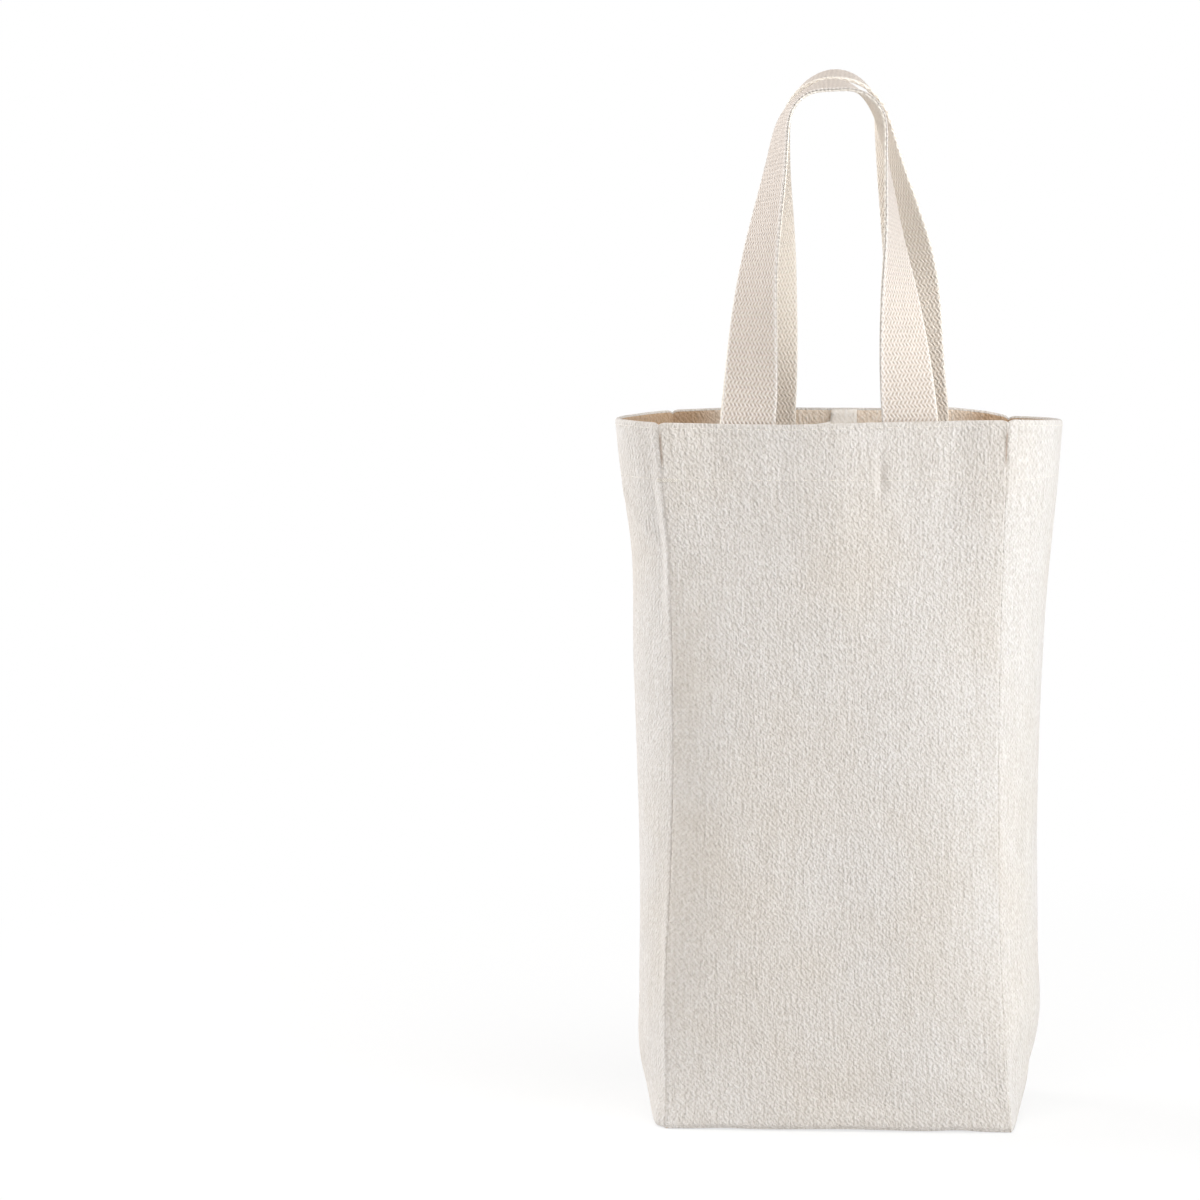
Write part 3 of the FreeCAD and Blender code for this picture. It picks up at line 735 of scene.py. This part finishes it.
def make_stitch():
    """One grain of thread along x, at the origin."""
    bpy.ops.object.select_all(action="DESELECT")
    bpy.ops.mesh.primitive_uv_sphere_add(segments=8, ring_count=5, radius=1.0)
    grain = bpy.context.object
    bpy.ops.object.mode_set(mode="EDIT")
    bpy.ops.mesh.select_all(action="SELECT")
    bpy.ops.transform.rotate(value=math.pi / 2, orient_axis="Y", center_override=(0, 0, 0))
    bpy.ops.transform.resize(value=(stitch_length / 2 * MM, thread_thick / 2 * MM, thread_thick / 2 * MM))
    bpy.ops.object.mode_set(mode="OBJECT")
    bpy.ops.object.shade_smooth()
    return grain


def stitch_row(name, node, places):
    """One piece of thread: a stitch at every place, which is a point, a direction along and one outwards."""
    grain = make_stitch()
    copies = []
    for point, along, out in places:
        copy = grain.copy()
        copy.data = grain.data.copy()
        x = Vector(along).normalized()
        z = (Vector(out) - x * x.dot(Vector(out))).normalized()
        y = z.cross(x)
        copy.matrix_world = Matrix.Translation(Vector(point) * MM) @ Matrix((x, y, z)).transposed().to_4x4()
        bpy.context.collection.objects.link(copy)
        copies.append(copy)
    bpy.data.objects.remove(grain)
    bpy.ops.object.select_all(action="DESELECT")
    for copy in copies:
        copy.select_set(True)
    bpy.context.view_layer.objects.active = copies[0]
    bpy.ops.object.join()
    bpy.ops.object.transform_apply(location=True, rotation=True, scale=True)
    thread = bpy.context.object
    thread.name = thread.data.name = name
    print(name, "has", len(places), "stitches")
    return sew_in(thread, node)


# %% [markdown]
# ## Rows round the bag
# One row holds the lower edge of the hem and shows outside on all four walls. A second, finer row runs
# just under the rim. Both stop short of the corner seams.


# %% Hem and rim rows
corner_clear = 3.5   # mm that a row stops short of a corner seam


def stitches_on(wall, share, level, below):
    """Places for stitches on the outer face of a wall."""
    point = turned(wall_point(wall, share, level, below), wall)
    _, along, out = wall_frame(wall, share, level)
    return list(zip(point, along * half_turn(wall), out * half_turn(wall)))


def round_the_bag(height, below):
    """Places for a row that goes round all four walls."""
    places = []
    for wall, (_, half, _, _) in walls.items():
        count = int(2 * (half - corner_clear) / stitch_pitch)
        share = (np.arange(count) + 0.5 - count / 2) * stitch_pitch / half
        places += stitches_on(wall, share, height + rim_line(wall, share) * float(rim_share(height)), below)
    return places


def middle_height(node):
    low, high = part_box(node)
    return (low.z + high.z) / 2 / MM


def seam_bridge(height):
    """Three short rows of stitches that lock the hem row at the front left seam."""
    places = []
    for lift in (-0.5, 0.0, 0.5):
        for wall, share in (("front", np.linspace(-0.982, -0.925, 3)), ("left", np.array([0.972]))):
            places += stitches_on(wall, share, height + lift, bridge_below)
    return places


hem_below, rim_below, bridge_below = 0.1, 0.08, -0.15   # middle of the thread below the outer face
hem_height = middle_height("hem_stitching")
hem_row = round_the_bag(hem_height, hem_below) + seam_bridge(hem_height)
threads = [
    stitch_row("hem_thread", "hem_stitching", hem_row),
    stitch_row("rim_thread", "rim_stitching", round_the_bag(middle_height("rim_stitching"), rim_below)),
]

# %% [markdown]
# ## Rows inside the bag
# The corner seams, the base, the divider and the handle ends are sewn too. Their threads lie inside, so
# they show only to someone who looks into the bag, but they are what holds it together.


# %% Corner seams and base seam
seam_row_in = 4.2    # from a corner seam to its row of stitches in the allowance
base_row_in = 5.5    # from the foot of a wall to the row that holds the base


def corner_row(side_x, side_y):
    """Places for the row of one corner seam, on the face of its allowance."""
    height = np.arange(6.0, rim_height - hem_depth - 4, stitch_pitch)
    width, depth, _, _ = bag_at(height)
    off = seam_gap + canvas_thick / 2 + 0.1
    inward = np.array([-side_x, -side_y, 0]) / math.sqrt(2)
    away = np.array([-side_x, side_y, 0]) / math.sqrt(2)
    seam = slid(np.stack([side_x * width, side_y * depth, height], -1))
    point = seam + inward * seam_row_in + away * off
    along = np.gradient(point, axis=0)
    return [(p, a, away) for p, a in zip(point, along)]


def base_row():
    """Places for the row round the base."""
    half_x, half_y = panel_half - base_row_in, gusset_half - base_row_in
    level = base_top + canvas_thick + 0.15
    places = []
    for x in np.arange(-half_x + 3, half_x - 2, stitch_pitch):
        places += [((x, y, level), (1, 0, 0), (0, 0, 1)) for y in (-half_y, half_y)]
    for y in np.arange(-half_y + 3, half_y - 2, stitch_pitch):
        places += [((x, y, level), (0, 1, 0), (0, 0, 1)) for x in (-half_x, half_x)]
    return [(slid(np.array(point)), along, out) for point, along, out in places]


for side_y, end in ((-1, "front"), (1, "back")):
    for side_x, hand in ((-1, "left"), (1, "right")):
        name = f"{end}_{hand}_seam"
        threads.append(stitch_row(name + "_stitches", name + "_thread", corner_row(side_x, side_y)))
threads.append(stitch_row("base_seam_stitches", "base_seam_thread", base_row()))


# %% [markdown]
# ## Handle ends and divider
# A strap that carries weight is sewn down with a box and a cross, so that no single thread takes the
# whole pull. The divider only has to stand, so one row up each tab is enough.

# %% Boxes, crosses and tab rows
box_wide, box_tall, box_drop = 18.0, 19.0, 5.0   # size of a box, and its top below the rim
box_pitch = 3.6
tab_row_at = 5.0   # sideways from the middle of the bag


def box_and_cross(wall, foot):
    """A box with a cross in it, on the face of a handle end that looks into the bag."""
    top = rim_height - box_drop
    left, right = foot - box_wide / 2, foot + box_wide / 2
    corners = [(left, top), (right, top), (right, top - box_tall), (left, top - box_tall)]
    sides = list(zip(corners, corners[1:] + corners[:1]))
    lines = sides + [(corners[0], corners[2]), (corners[1], corners[3])]
    below = hem_face + webbing_thick + 0.05
    places = []
    for start, end in lines:
        start, end = np.array(start), np.array(end)
        count = max(3, round(np.hypot(*(end - start)) / box_pitch))
        for t in (np.arange(count) + 0.5) / count:
            x, z = start + (end - start) * t
            point, out = inside_panel(wall, x, z, below)
            places.append((point, (end[0] - start[0], 0, end[1] - start[1]), -out))
    return places


for wall in ("front", "back"):
    places = [place for leg in handle_legs[wall]["legs"] for place in box_and_cross(wall, leg["foot"])]
    threads.append(stitch_row(wall + "_handle_thread", wall + "_handle_stitching", places))


def divider_rows():
    """Places for one row up the front tab and one up the back tab."""
    places = []
    for side in (-1, 1):
        for height in np.arange(8, rim_height - divider_drop - 3, stitch_pitch):
            y = divider_reach(np.array(height), side, tab_row_at) - canvas_thick / 2 - 0.05
            places.append(((tab_row_at, side * y, height), (0, 0, 1), (0, -side, 0)))
    return places


threads.append(stitch_row("divider_thread", "divider_stitching", divider_rows()))

# %% [markdown]
# ## Canvas
# ## Canvas
# Natural canvas is a plain weave of uneven yarns: small bumps a millimetre apart, short upright slubs
# where a yarn is thick, a few pale knots and very few dark specks of seed. An image of cloth would repeat,
# so noise and waves are mixed on the cloth's own UV map. The same height drives the bump and a slight
# change of colour, because the hollows of a weave hold shade.


# %% Helpers for materials
cloth_sheen, cloth_gloss = 0.12, 0.2


class Recipe:
    """The nodes of a material or of the world, and short words for adding to them."""

    def __init__(self, owner, shader="Principled BSDF"):
        owner.use_nodes = True
        self.owner, self.tree = owner, owner.node_tree
        self.shader = self.tree.nodes[shader]

    def add(self, kind, values=(), **settings):
        made = self.tree.nodes.new(kind)
        for key, value in settings.items():
            setattr(made, key, value)
        for key, value in dict(values).items():
            self.feed(made.inputs[key], value)
        return made

    def feed(self, socket, value):
        if isinstance(value, bpy.types.NodeSocket):
            self.tree.links.new(value, socket)
        else:
            socket.default_value = value

    def set(self, **values):
        for name, value in values.items():
            self.feed(self.shader.inputs[name.replace("_", " ")], value)

    def math(self, operation, first, second=0.0, third=0.0):
        return self.add("ShaderNodeMath", {0: first, 1: second, 2: third}, operation=operation).outputs[0]

    def vector(self, operation, first, second=(0, 0, 0), third=(0, 0, 0), out=0):
        made = self.add("ShaderNodeVectorMath", {0: first, 1: second, 2: third}, operation=operation)
        return made.outputs[out]

    def blend(self, share, first, second, mode="MIX"):
        made = self.add("ShaderNodeMix", {0: share, 6: first, 7: second}, data_type="RGBA", blend_type=mode)
        return made.outputs[2]

    def noise(self, place, scale, detail=2.0, rough=0.5):
        values = {"Vector": place, "Scale": scale, "Detail": detail, "Roughness": rough}
        return self.add("ShaderNodeTexNoise", values)

    def fit(self, value, low, high, to_low=0.0, to_high=1.0):
        values = {0: value, 1: low, 2: high, 3: to_low, 4: to_high}
        return self.add("ShaderNodeMapRange", values).outputs[0]

    def cloth_place(self):
        """The place on the cloth in millimetres from its middle."""
        flat = self.add("ShaderNodeUVMap", uv_map="UVMap").outputs[0]
        return self.vector("MULTIPLY_ADD", flat, [WEAVE_SPAN] * 3, [-WEAVE_SPAN / 2] * 3)

    def stretched(self, place, x, y):
        return self.vector("MULTIPLY", place, (x, y, 1.0))

    def shoved(self, place, scale, reach):
        """x and y of the place, pushed about by a noise so that no two yarns are alike."""
        push = self.vector("SUBTRACT", self.noise(place, scale).outputs["Color"], (0.5, 0.5, 0.5))
        place = self.vector("MULTIPLY_ADD", push, reach, place)
        return self.add("ShaderNodeSeparateXYZ", {0: place}).outputs[:2]

    def finish(self, colour, height, depth, roughness):
        bump = self.add("ShaderNodeBump", {"Height": height, "Distance": depth * MM, "Strength": 1.0})
        self.set(Base_Color=colour, Roughness=roughness, Normal=bump.outputs[0])
        return self.owner


# %% Tones of the canvas
# shadow, middle and light tone; the inside is painted browner and paler than the outside, as painted shade
# and painted light, and the divider paler still, as painted light
canvas_tones = {
    "outside": ((0.61, 0.57, 0.53, 1), (0.715, 0.68, 0.65, 1), (0.79, 0.765, 0.745, 1)),
    "inside": ((0.82, 0.70, 0.575, 1), (0.97, 0.86, 0.745, 1), (0.98, 0.92, 0.85, 1)),
    "divider": ((0.90, 0.86, 0.81, 1), (0.97, 0.94, 0.90, 1), (0.98, 0.96, 0.94, 1)),
}
canvas_relief = {"outside": 0.92, "inside": 0.7, "divider": 0.4}
# painted shade: the inside is painted darker and browner towards the corners of the bag
corner_painted_shade = (0.63, 0.515, 0.41, 1)   # the cloth inside is browner towards the corners of the bag
warm_tint = (0.98, 0.96, 0.93, 1)      # slow warm patches of unbleached cotton
seed_tint = (0.35, 0.25, 0.16, 1)
# painted shade: the gap where the corner seams part above the hem row is painted dark
parting_painted_shade = (0.26, 0.17, 0.11, 1)   # above the hem row the corner seams part a little and look dark
parting_from, parting_to = (136, 140), (149, 153)   # heights from the middle of the cloth, in mm
yarn_pitch, pick_pitch = 1.18, 1.25


# %% Canvas material
def weave_height(r, place):
    """Bumps of a plain weave."""
    x, y = r.shoved(place, 0.4, (2.4, 3.2, 0))
    warp = r.math("SINE", r.math("MULTIPLY", x, math.pi / yarn_pitch))
    weft = r.math("SINE", r.math("MULTIPLY", y, math.pi / pick_pitch))
    return r.math("MULTIPLY_ADD", r.math("MULTIPLY", warp, weft), 0.5, 0.5)


def dots(r, place, scale, inside, outside):
    """1 on scattered dots of the cloth, fading out between the two distances."""
    cells = r.add("ShaderNodeTexVoronoi", {"Vector": place, "Scale": scale})
    return r.fit(cells.outputs["Distance"], inside, outside, 1.0, 0.0)


def canvas_material(face, corner_shade_from=None, name=""):
    """Canvas in one of the tones; the second argument is where its painted corner shade starts, in mm from
    the middle.
    """
    shade, middle, light = canvas_tones[face]
    r = Recipe(bpy.data.materials.new("natural_canvas_" + (name or face)))
    place = r.cloth_place()
    weave = weave_height(r, place)
    grain = r.noise(r.stretched(place, 0.82, 0.43), 1.0, 1.0, 0.5).outputs[0]
    slubs = r.noise(r.stretched(place, 0.66, 0.07), 1.0, 2.0, 0.5).outputs[0]
    ribs = r.noise(r.stretched(place, 0.3, 0.012), 1.0, 1.0).outputs[0]
    knot = dots(r, place, 0.11, 0.03, 0.09)
    speck = dots(r, r.stretched(place, 1.0, 0.6), 0.035, 0.008, 0.02)
    height = r.math("MULTIPLY_ADD", weave, 0.25, r.math("MULTIPLY_ADD", grain, 0.85, 0.01))
    height = r.math("MULTIPLY_ADD", slubs, 0.55, height)
    height = r.math("MULTIPLY_ADD", knot, 0.25, height)
    tone = r.math("MULTIPLY_ADD", ribs, 0.2, height)
    colour = r.blend(r.fit(tone, 0.64, 1.0), shade, middle)
    colour = r.blend(r.fit(tone, 0.94, 1.28), colour, light)
    patch = r.fit(r.noise(place, 0.016, 2.0).outputs[0], 0.4, 0.68)
    colour = r.blend(patch, colour, warm_tint, "MULTIPLY")
    apart = r.add("ShaderNodeSeparateXYZ", {0: place})
    across, up = r.math("ABSOLUTE", apart.outputs[0]), apart.outputs[1]
    if face == "outside":
        # painted shade in the gap at the top of each corner seam, above the hem row
        level = r.math("MULTIPLY", r.fit(up, *parting_from), r.fit(up, *parting_to, 1.0, 0.0))
        parting_shade_mask = r.math("MULTIPLY", r.fit(across, panel_half - 1.9, panel_half - 0.9), level)
        colour = r.blend(r.math("MULTIPLY", parting_shade_mask, 0.6), colour, parting_painted_shade)
    # painted shade inside, growing towards the corners of the bag
    if corner_shade_from is not None:
        colour = r.blend(r.fit(across, corner_shade_from, corner_shade_from + 18), colour, corner_painted_shade, "MULTIPLY")
    colour = r.blend(r.math("MULTIPLY", speck, 0.35), colour, seed_tint)
    r.set(Sheen_Weight=cloth_sheen, Specular_IOR_Level=cloth_gloss)
    return r.finish(colour, height, canvas_relief[face], r.fit(height, 0.5, 1.3, 0.95, 0.82))


# %% Dress the canvas
def dress_canvas(piece, outside, inside):
    """The outer faces of a wall keep the outside tone; its inner faces and its hem get the inside one, with
    its painted shade and painted light.
    """
    piece.data.materials.append(outside)
    piece.data.materials.append(inside)
    along = np.empty(len(piece.data.loops) * 2)
    piece.data.uv_layers[0].data.foreach_get("uv", along)
    fold = 0.5 + (rim_height + 0.5 - cloth_middle) / WEAVE_SPAN
    for face in piece.data.polygons:
        hem = along[face.loop_start * 2 + 1] > fold
        upper = face.index < piece["outer_faces"]
        face.material_index = int(upper if piece == base else hem or not upper)


# the divider's paler tone is painted light
canvas_out, canvas_painted_light = canvas_material("outside"), canvas_material("divider")
# a gusset's inside is painted shade all over, a panel's inside only towards its corners
panel_in = canvas_material("inside", 50, "panel_inside")
gusset_in = canvas_material("inside", -22, "gusset_inside_shaded")
for piece in canvas_pieces:
    if piece == divider:
        piece.data.materials.append(canvas_painted_light)
    else:
        dress_canvas(piece, canvas_out, gusset_in if "gusset" in piece.name else panel_in)
print("canvas on", len(canvas_pieces), "pieces")

# %% [markdown]
# ## Webbing
# Cotton webbing is woven tight: rows of short floats, each row set half a step aside and slanting the
# other way, between two plain pale selvages. Two waves multiplied give the staggered floats, and a sway
# of the place across the strap slants them.

# %% Webbing material
webbing_colour = (0.72, 0.64, 0.575, 1)
webbing_shade = (0.50, 0.41, 0.345, 1)
webbing_light = (0.83, 0.785, 0.75, 1)
# painted light: the faces that look into a handle's loop are painted paler and warmer than the same webbing
# outside
painted_light_lift = (1.2, 1.2, 1.17)   # the inner faces light each other and look paler and warmer
painted_light_tint, painted_light_share = (1.0, 0.94, 0.85, 1), 0.38
webbing_relief = 0.55
float_pitch = 1.84     # from float to float across the strap
row_pair = 4.0         # two rows of floats along the strap
row_sway = 0.3


def webbing_material():
    r = Recipe(bpy.data.materials.new("cotton_webbing"))
    place = r.cloth_place()
    shoved_x, shoved_y = r.shoved(place, 0.5, (0.7, 1.2, 0))
    along = r.math("MULTIPLY", shoved_y, 2 * math.pi / row_pair)
    swayed = r.math("MULTIPLY_ADD", r.math("SINE", along), row_sway, shoved_x)
    ends = r.math("COSINE", r.math("MULTIPLY", swayed, 2 * math.pi / float_pitch))
    floats = r.math("MULTIPLY_ADD", r.math("MULTIPLY", ends, r.math("COSINE", along)), 0.5, 0.5)
    x = r.add("ShaderNodeSeparateXYZ", {0: place}).outputs[0]
    inner = r.math("GREATER_THAN", x, inner_face_at / 2)
    across = r.math("ABSOLUTE", r.math("MULTIPLY_ADD", inner, -inner_face_at, x))
    selvage = r.fit(across, 0.42 * webbing_width, 0.47 * webbing_width)
    fibres = r.noise(r.stretched(place, 1.6, 0.5), 1.0, 3.0, 0.6).outputs[0]
    weave = r.math("MULTIPLY_ADD", selvage, 0.3, r.math("MULTIPLY", floats, 0.75))
    height = r.math("MULTIPLY_ADD", fibres, 0.5, weave)
    colour = r.blend(r.fit(height, 0.25, 0.6), webbing_shade, webbing_colour)
    colour = r.blend(r.fit(height, 0.6, 1.0), colour, webbing_light)
    # painted light on the faces that look into the loop
    lifted = r.blend(painted_light_share, r.vector("MULTIPLY", colour, painted_light_lift), painted_light_tint)
    colour = r.blend(inner, colour, lifted)
    r.set(Sheen_Weight=cloth_sheen, Specular_IOR_Level=cloth_gloss)
    return r.finish(colour, height, webbing_relief, r.fit(height, 0.2, 1.1, 0.95, 0.8))


webbing = webbing_material()
for strap in straps.values():
    strap.data.materials.append(webbing)
print("webbing on", len(straps), "handles")

# %% [markdown]
# ## Thread
# The thread is a twisted cotton yarn, a shade paler than the canvas. At this size its twist is a fine
# slanting ripple, made from a wave on Object coordinates.


# %% Thread material
thread_shade, thread_light = (0.68, 0.62, 0.55, 1), (0.86, 0.83, 0.78, 1)
thread_relief = 0.05


def thread_material():
    r = Recipe(bpy.data.materials.new("cotton_thread"))
    place = r.add("ShaderNodeTexCoord").outputs["Object"]
    wave = r.add("ShaderNodeTexWave", {"Vector": place, "Scale": 600.0, "Distortion": 1.5, "Detail": 1.0},
                 bands_direction="DIAGONAL")
    fuzz = r.noise(place, 900.0, 2.0).outputs[0]
    height = r.math("MULTIPLY_ADD", fuzz, 0.5, wave.outputs["Fac"])
    colour = r.blend(r.fit(height, 0.2, 1.1), thread_shade, thread_light)
    return r.finish(colour, height, thread_relief, r.fit(height, 0.2, 1.2, 0.9, 0.75))


cotton = thread_material()
for thread in threads:
    thread.data.materials.clear()
    thread.data.materials.append(cotton)
print("thread on", len(threads), "rows")

# %% [markdown]
# ## Floor, light and white ground
# The bag stands on a white sweep under broad soft light that is stronger from the right. The world gives
# an even fill. The camera sees pure white behind the bag, while the floor keeps the soft shadow.

# %% World and floor
scene = bpy.context.scene
scene.view_settings.view_transform = "Standard"
fill_strength = 0.29
floor_size, floor_drop = 6.0, 0.0002
floor_bounce = 0.9              # how much of the light the floor throws back
ground_fade = (0.2, 0.7)        # distance in metres over which the shadow on the floor gives way to white
ground_white = (0.75, 1.0)      # share of pure white near the bag and far from it


def seen_directly(r):
    """1 for rays that show the ground to the eye, also in gloss and through glass."""
    rays = r.add("ShaderNodeLightPath").outputs
    seen = r.math("MAXIMUM", rays["Is Camera Ray"], rays["Is Glossy Ray"])
    return r.math("MAXIMUM", seen, rays["Is Transmission Ray"])


scene.world = bpy.data.worlds.new("studio")
sky = Recipe(scene.world, "Background")
sky.set(Color=(1, 1, 1, 1), Strength=sky.fit(seen_directly(sky), 0.0, 1.0, fill_strength, 1.0))

bpy.ops.object.select_all(action="DESELECT")
bpy.ops.mesh.primitive_plane_add(size=floor_size, location=(0, 0, -floor_drop))
floor = bpy.context.object
floor.name = "studio_floor"
ground = Recipe(bpy.data.materials.new("white_ground"))
seen = seen_directly(ground)
ground.set(Roughness=0.9, Specular_IOR_Level=0.0, Base_Color=ground.fit(seen, 0.0, 1.0, floor_bounce, 1.0))
far = ground.vector("LENGTH", ground.add("ShaderNodeTexCoord").outputs["Object"], out="Value")
white = ground.math("MULTIPLY", ground.fit(far, *ground_fade, *ground_white), seen)
glow = ground.add("ShaderNodeEmission", {"Strength": 1.0})
mixed = ground.add("ShaderNodeMixShader", {0: white, 1: ground.shader.outputs[0], 2: glow.outputs[0]})
ground.feed(ground.tree.nodes["Material Output"].inputs["Surface"], mixed.outputs[0])
floor.data.materials.append(ground.owner)
print("white ground of", floor_size, "m")


# %% Lamps
def soft_lamp(name, place, aim, size, watts, colour=(1, 1, 1)):
    lamp = bpy.data.lights.new(name, "AREA")
    lamp.shape, lamp.size, lamp.energy, lamp.color = "SQUARE", size, watts, colour
    stand = bpy.data.objects.new(name, lamp)
    stand.location = place
    stand.rotation_euler = (Vector(aim) - Vector(place)).to_track_quat("-Z", "Y").to_euler()
    scene.collection.objects.link(stand)
    return stand


warm, cool = (1.0, 0.955, 0.90), (0.92, 0.965, 1.0)
soft_lamp("right_softbox", (1.65, 0.0, 0.45), (0, 0, 0.12), 1.3, 9.0, cool)
soft_lamp("front_right_softbox", (1.75, -1.12, 0.7), (0, 0, 0.16), 1.4, 19.0, cool)
soft_lamp("front_softbox", (1.4, -1.8, 1.0), (0, 0, 0.25), 1.4, 9.5, warm)
soft_lamp("left_softbox", (-1.65, 0.5, 0.7), (0, 0, 0.2), 1.3, 26.5)
soft_lamp("top_softbox", (0.1, -0.85, 1.95), (0, 0, 0.3), 1.4, 17.0, warm)
print("five soft lamps and a fill of", fill_strength)

# %% [markdown]
# ## Camera
# The photograph was taken from a little right of the middle and a little above the bag, with a long
# lens. The bag stands right of the middle of the picture, so the camera looks past its left side.

# %% Camera
camera_azimuth = 2.0
camera_elevation = 5.9
camera_distance = 2.3
look_at = Vector((0.0, 0.0, 0.2375))
frame_at_front = 0.5421   # width of the picture in metres, where the front panel stands
front_panel_at = 0.043    # how far the front panel stands before the middle of the bag
bag_off_middle = 0.1975   # share of the picture's width by which the bag stands right of the middle

view = bpy.data.cameras.new("photo_view")
view.sensor_width = 36.0
view.lens = view.sensor_width * (camera_distance - front_panel_at) / frame_at_front
camera = bpy.data.objects.new("photo_view", view)
scene.collection.objects.link(camera)
scene.camera = camera
azimuth, elevation = math.radians(camera_azimuth), math.radians(camera_elevation)
level_back = Vector((math.sin(azimuth), -math.cos(azimuth), 0))
sideways = Vector((math.cos(azimuth), math.sin(azimuth), 0))
back = level_back * math.cos(elevation) + Vector((0, 0, math.sin(elevation)))
eye = look_at + back * camera_distance
aim = look_at - sideways * (bag_off_middle * camera_distance * view.sensor_width / view.lens)
ahead = (aim - eye).normalized()
# this keeps the sides of the bag upright in the picture
upright = ahead.cross((look_at - eye).cross(Vector((0, 0, 1)))).normalized()
upright *= math.copysign(1.0, upright.z)
turn = Matrix((ahead.cross(upright), upright, -ahead)).transposed()
camera.matrix_world = Matrix.Translation(eye) @ turn.to_4x4()
print("camera at", [round(v, 3) for v in camera.location])

# %% [markdown]
# ## What is cloth
# The library wants to know which pieces are sheets, and how big each was when it lay flat on the cutting
# table. A wall is as wide as its face and two seam allowances, and as long as its face, hem and foot.

# %% Cut sizes of the sheets
mid_height = np.array(150.0)   # where the width of the divider is taken
for piece in canvas_pieces:
    if piece == base:
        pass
    elif piece == divider:
        wide = sum(float(divider_reach(mid_height, side)) for side in (-1, 1))
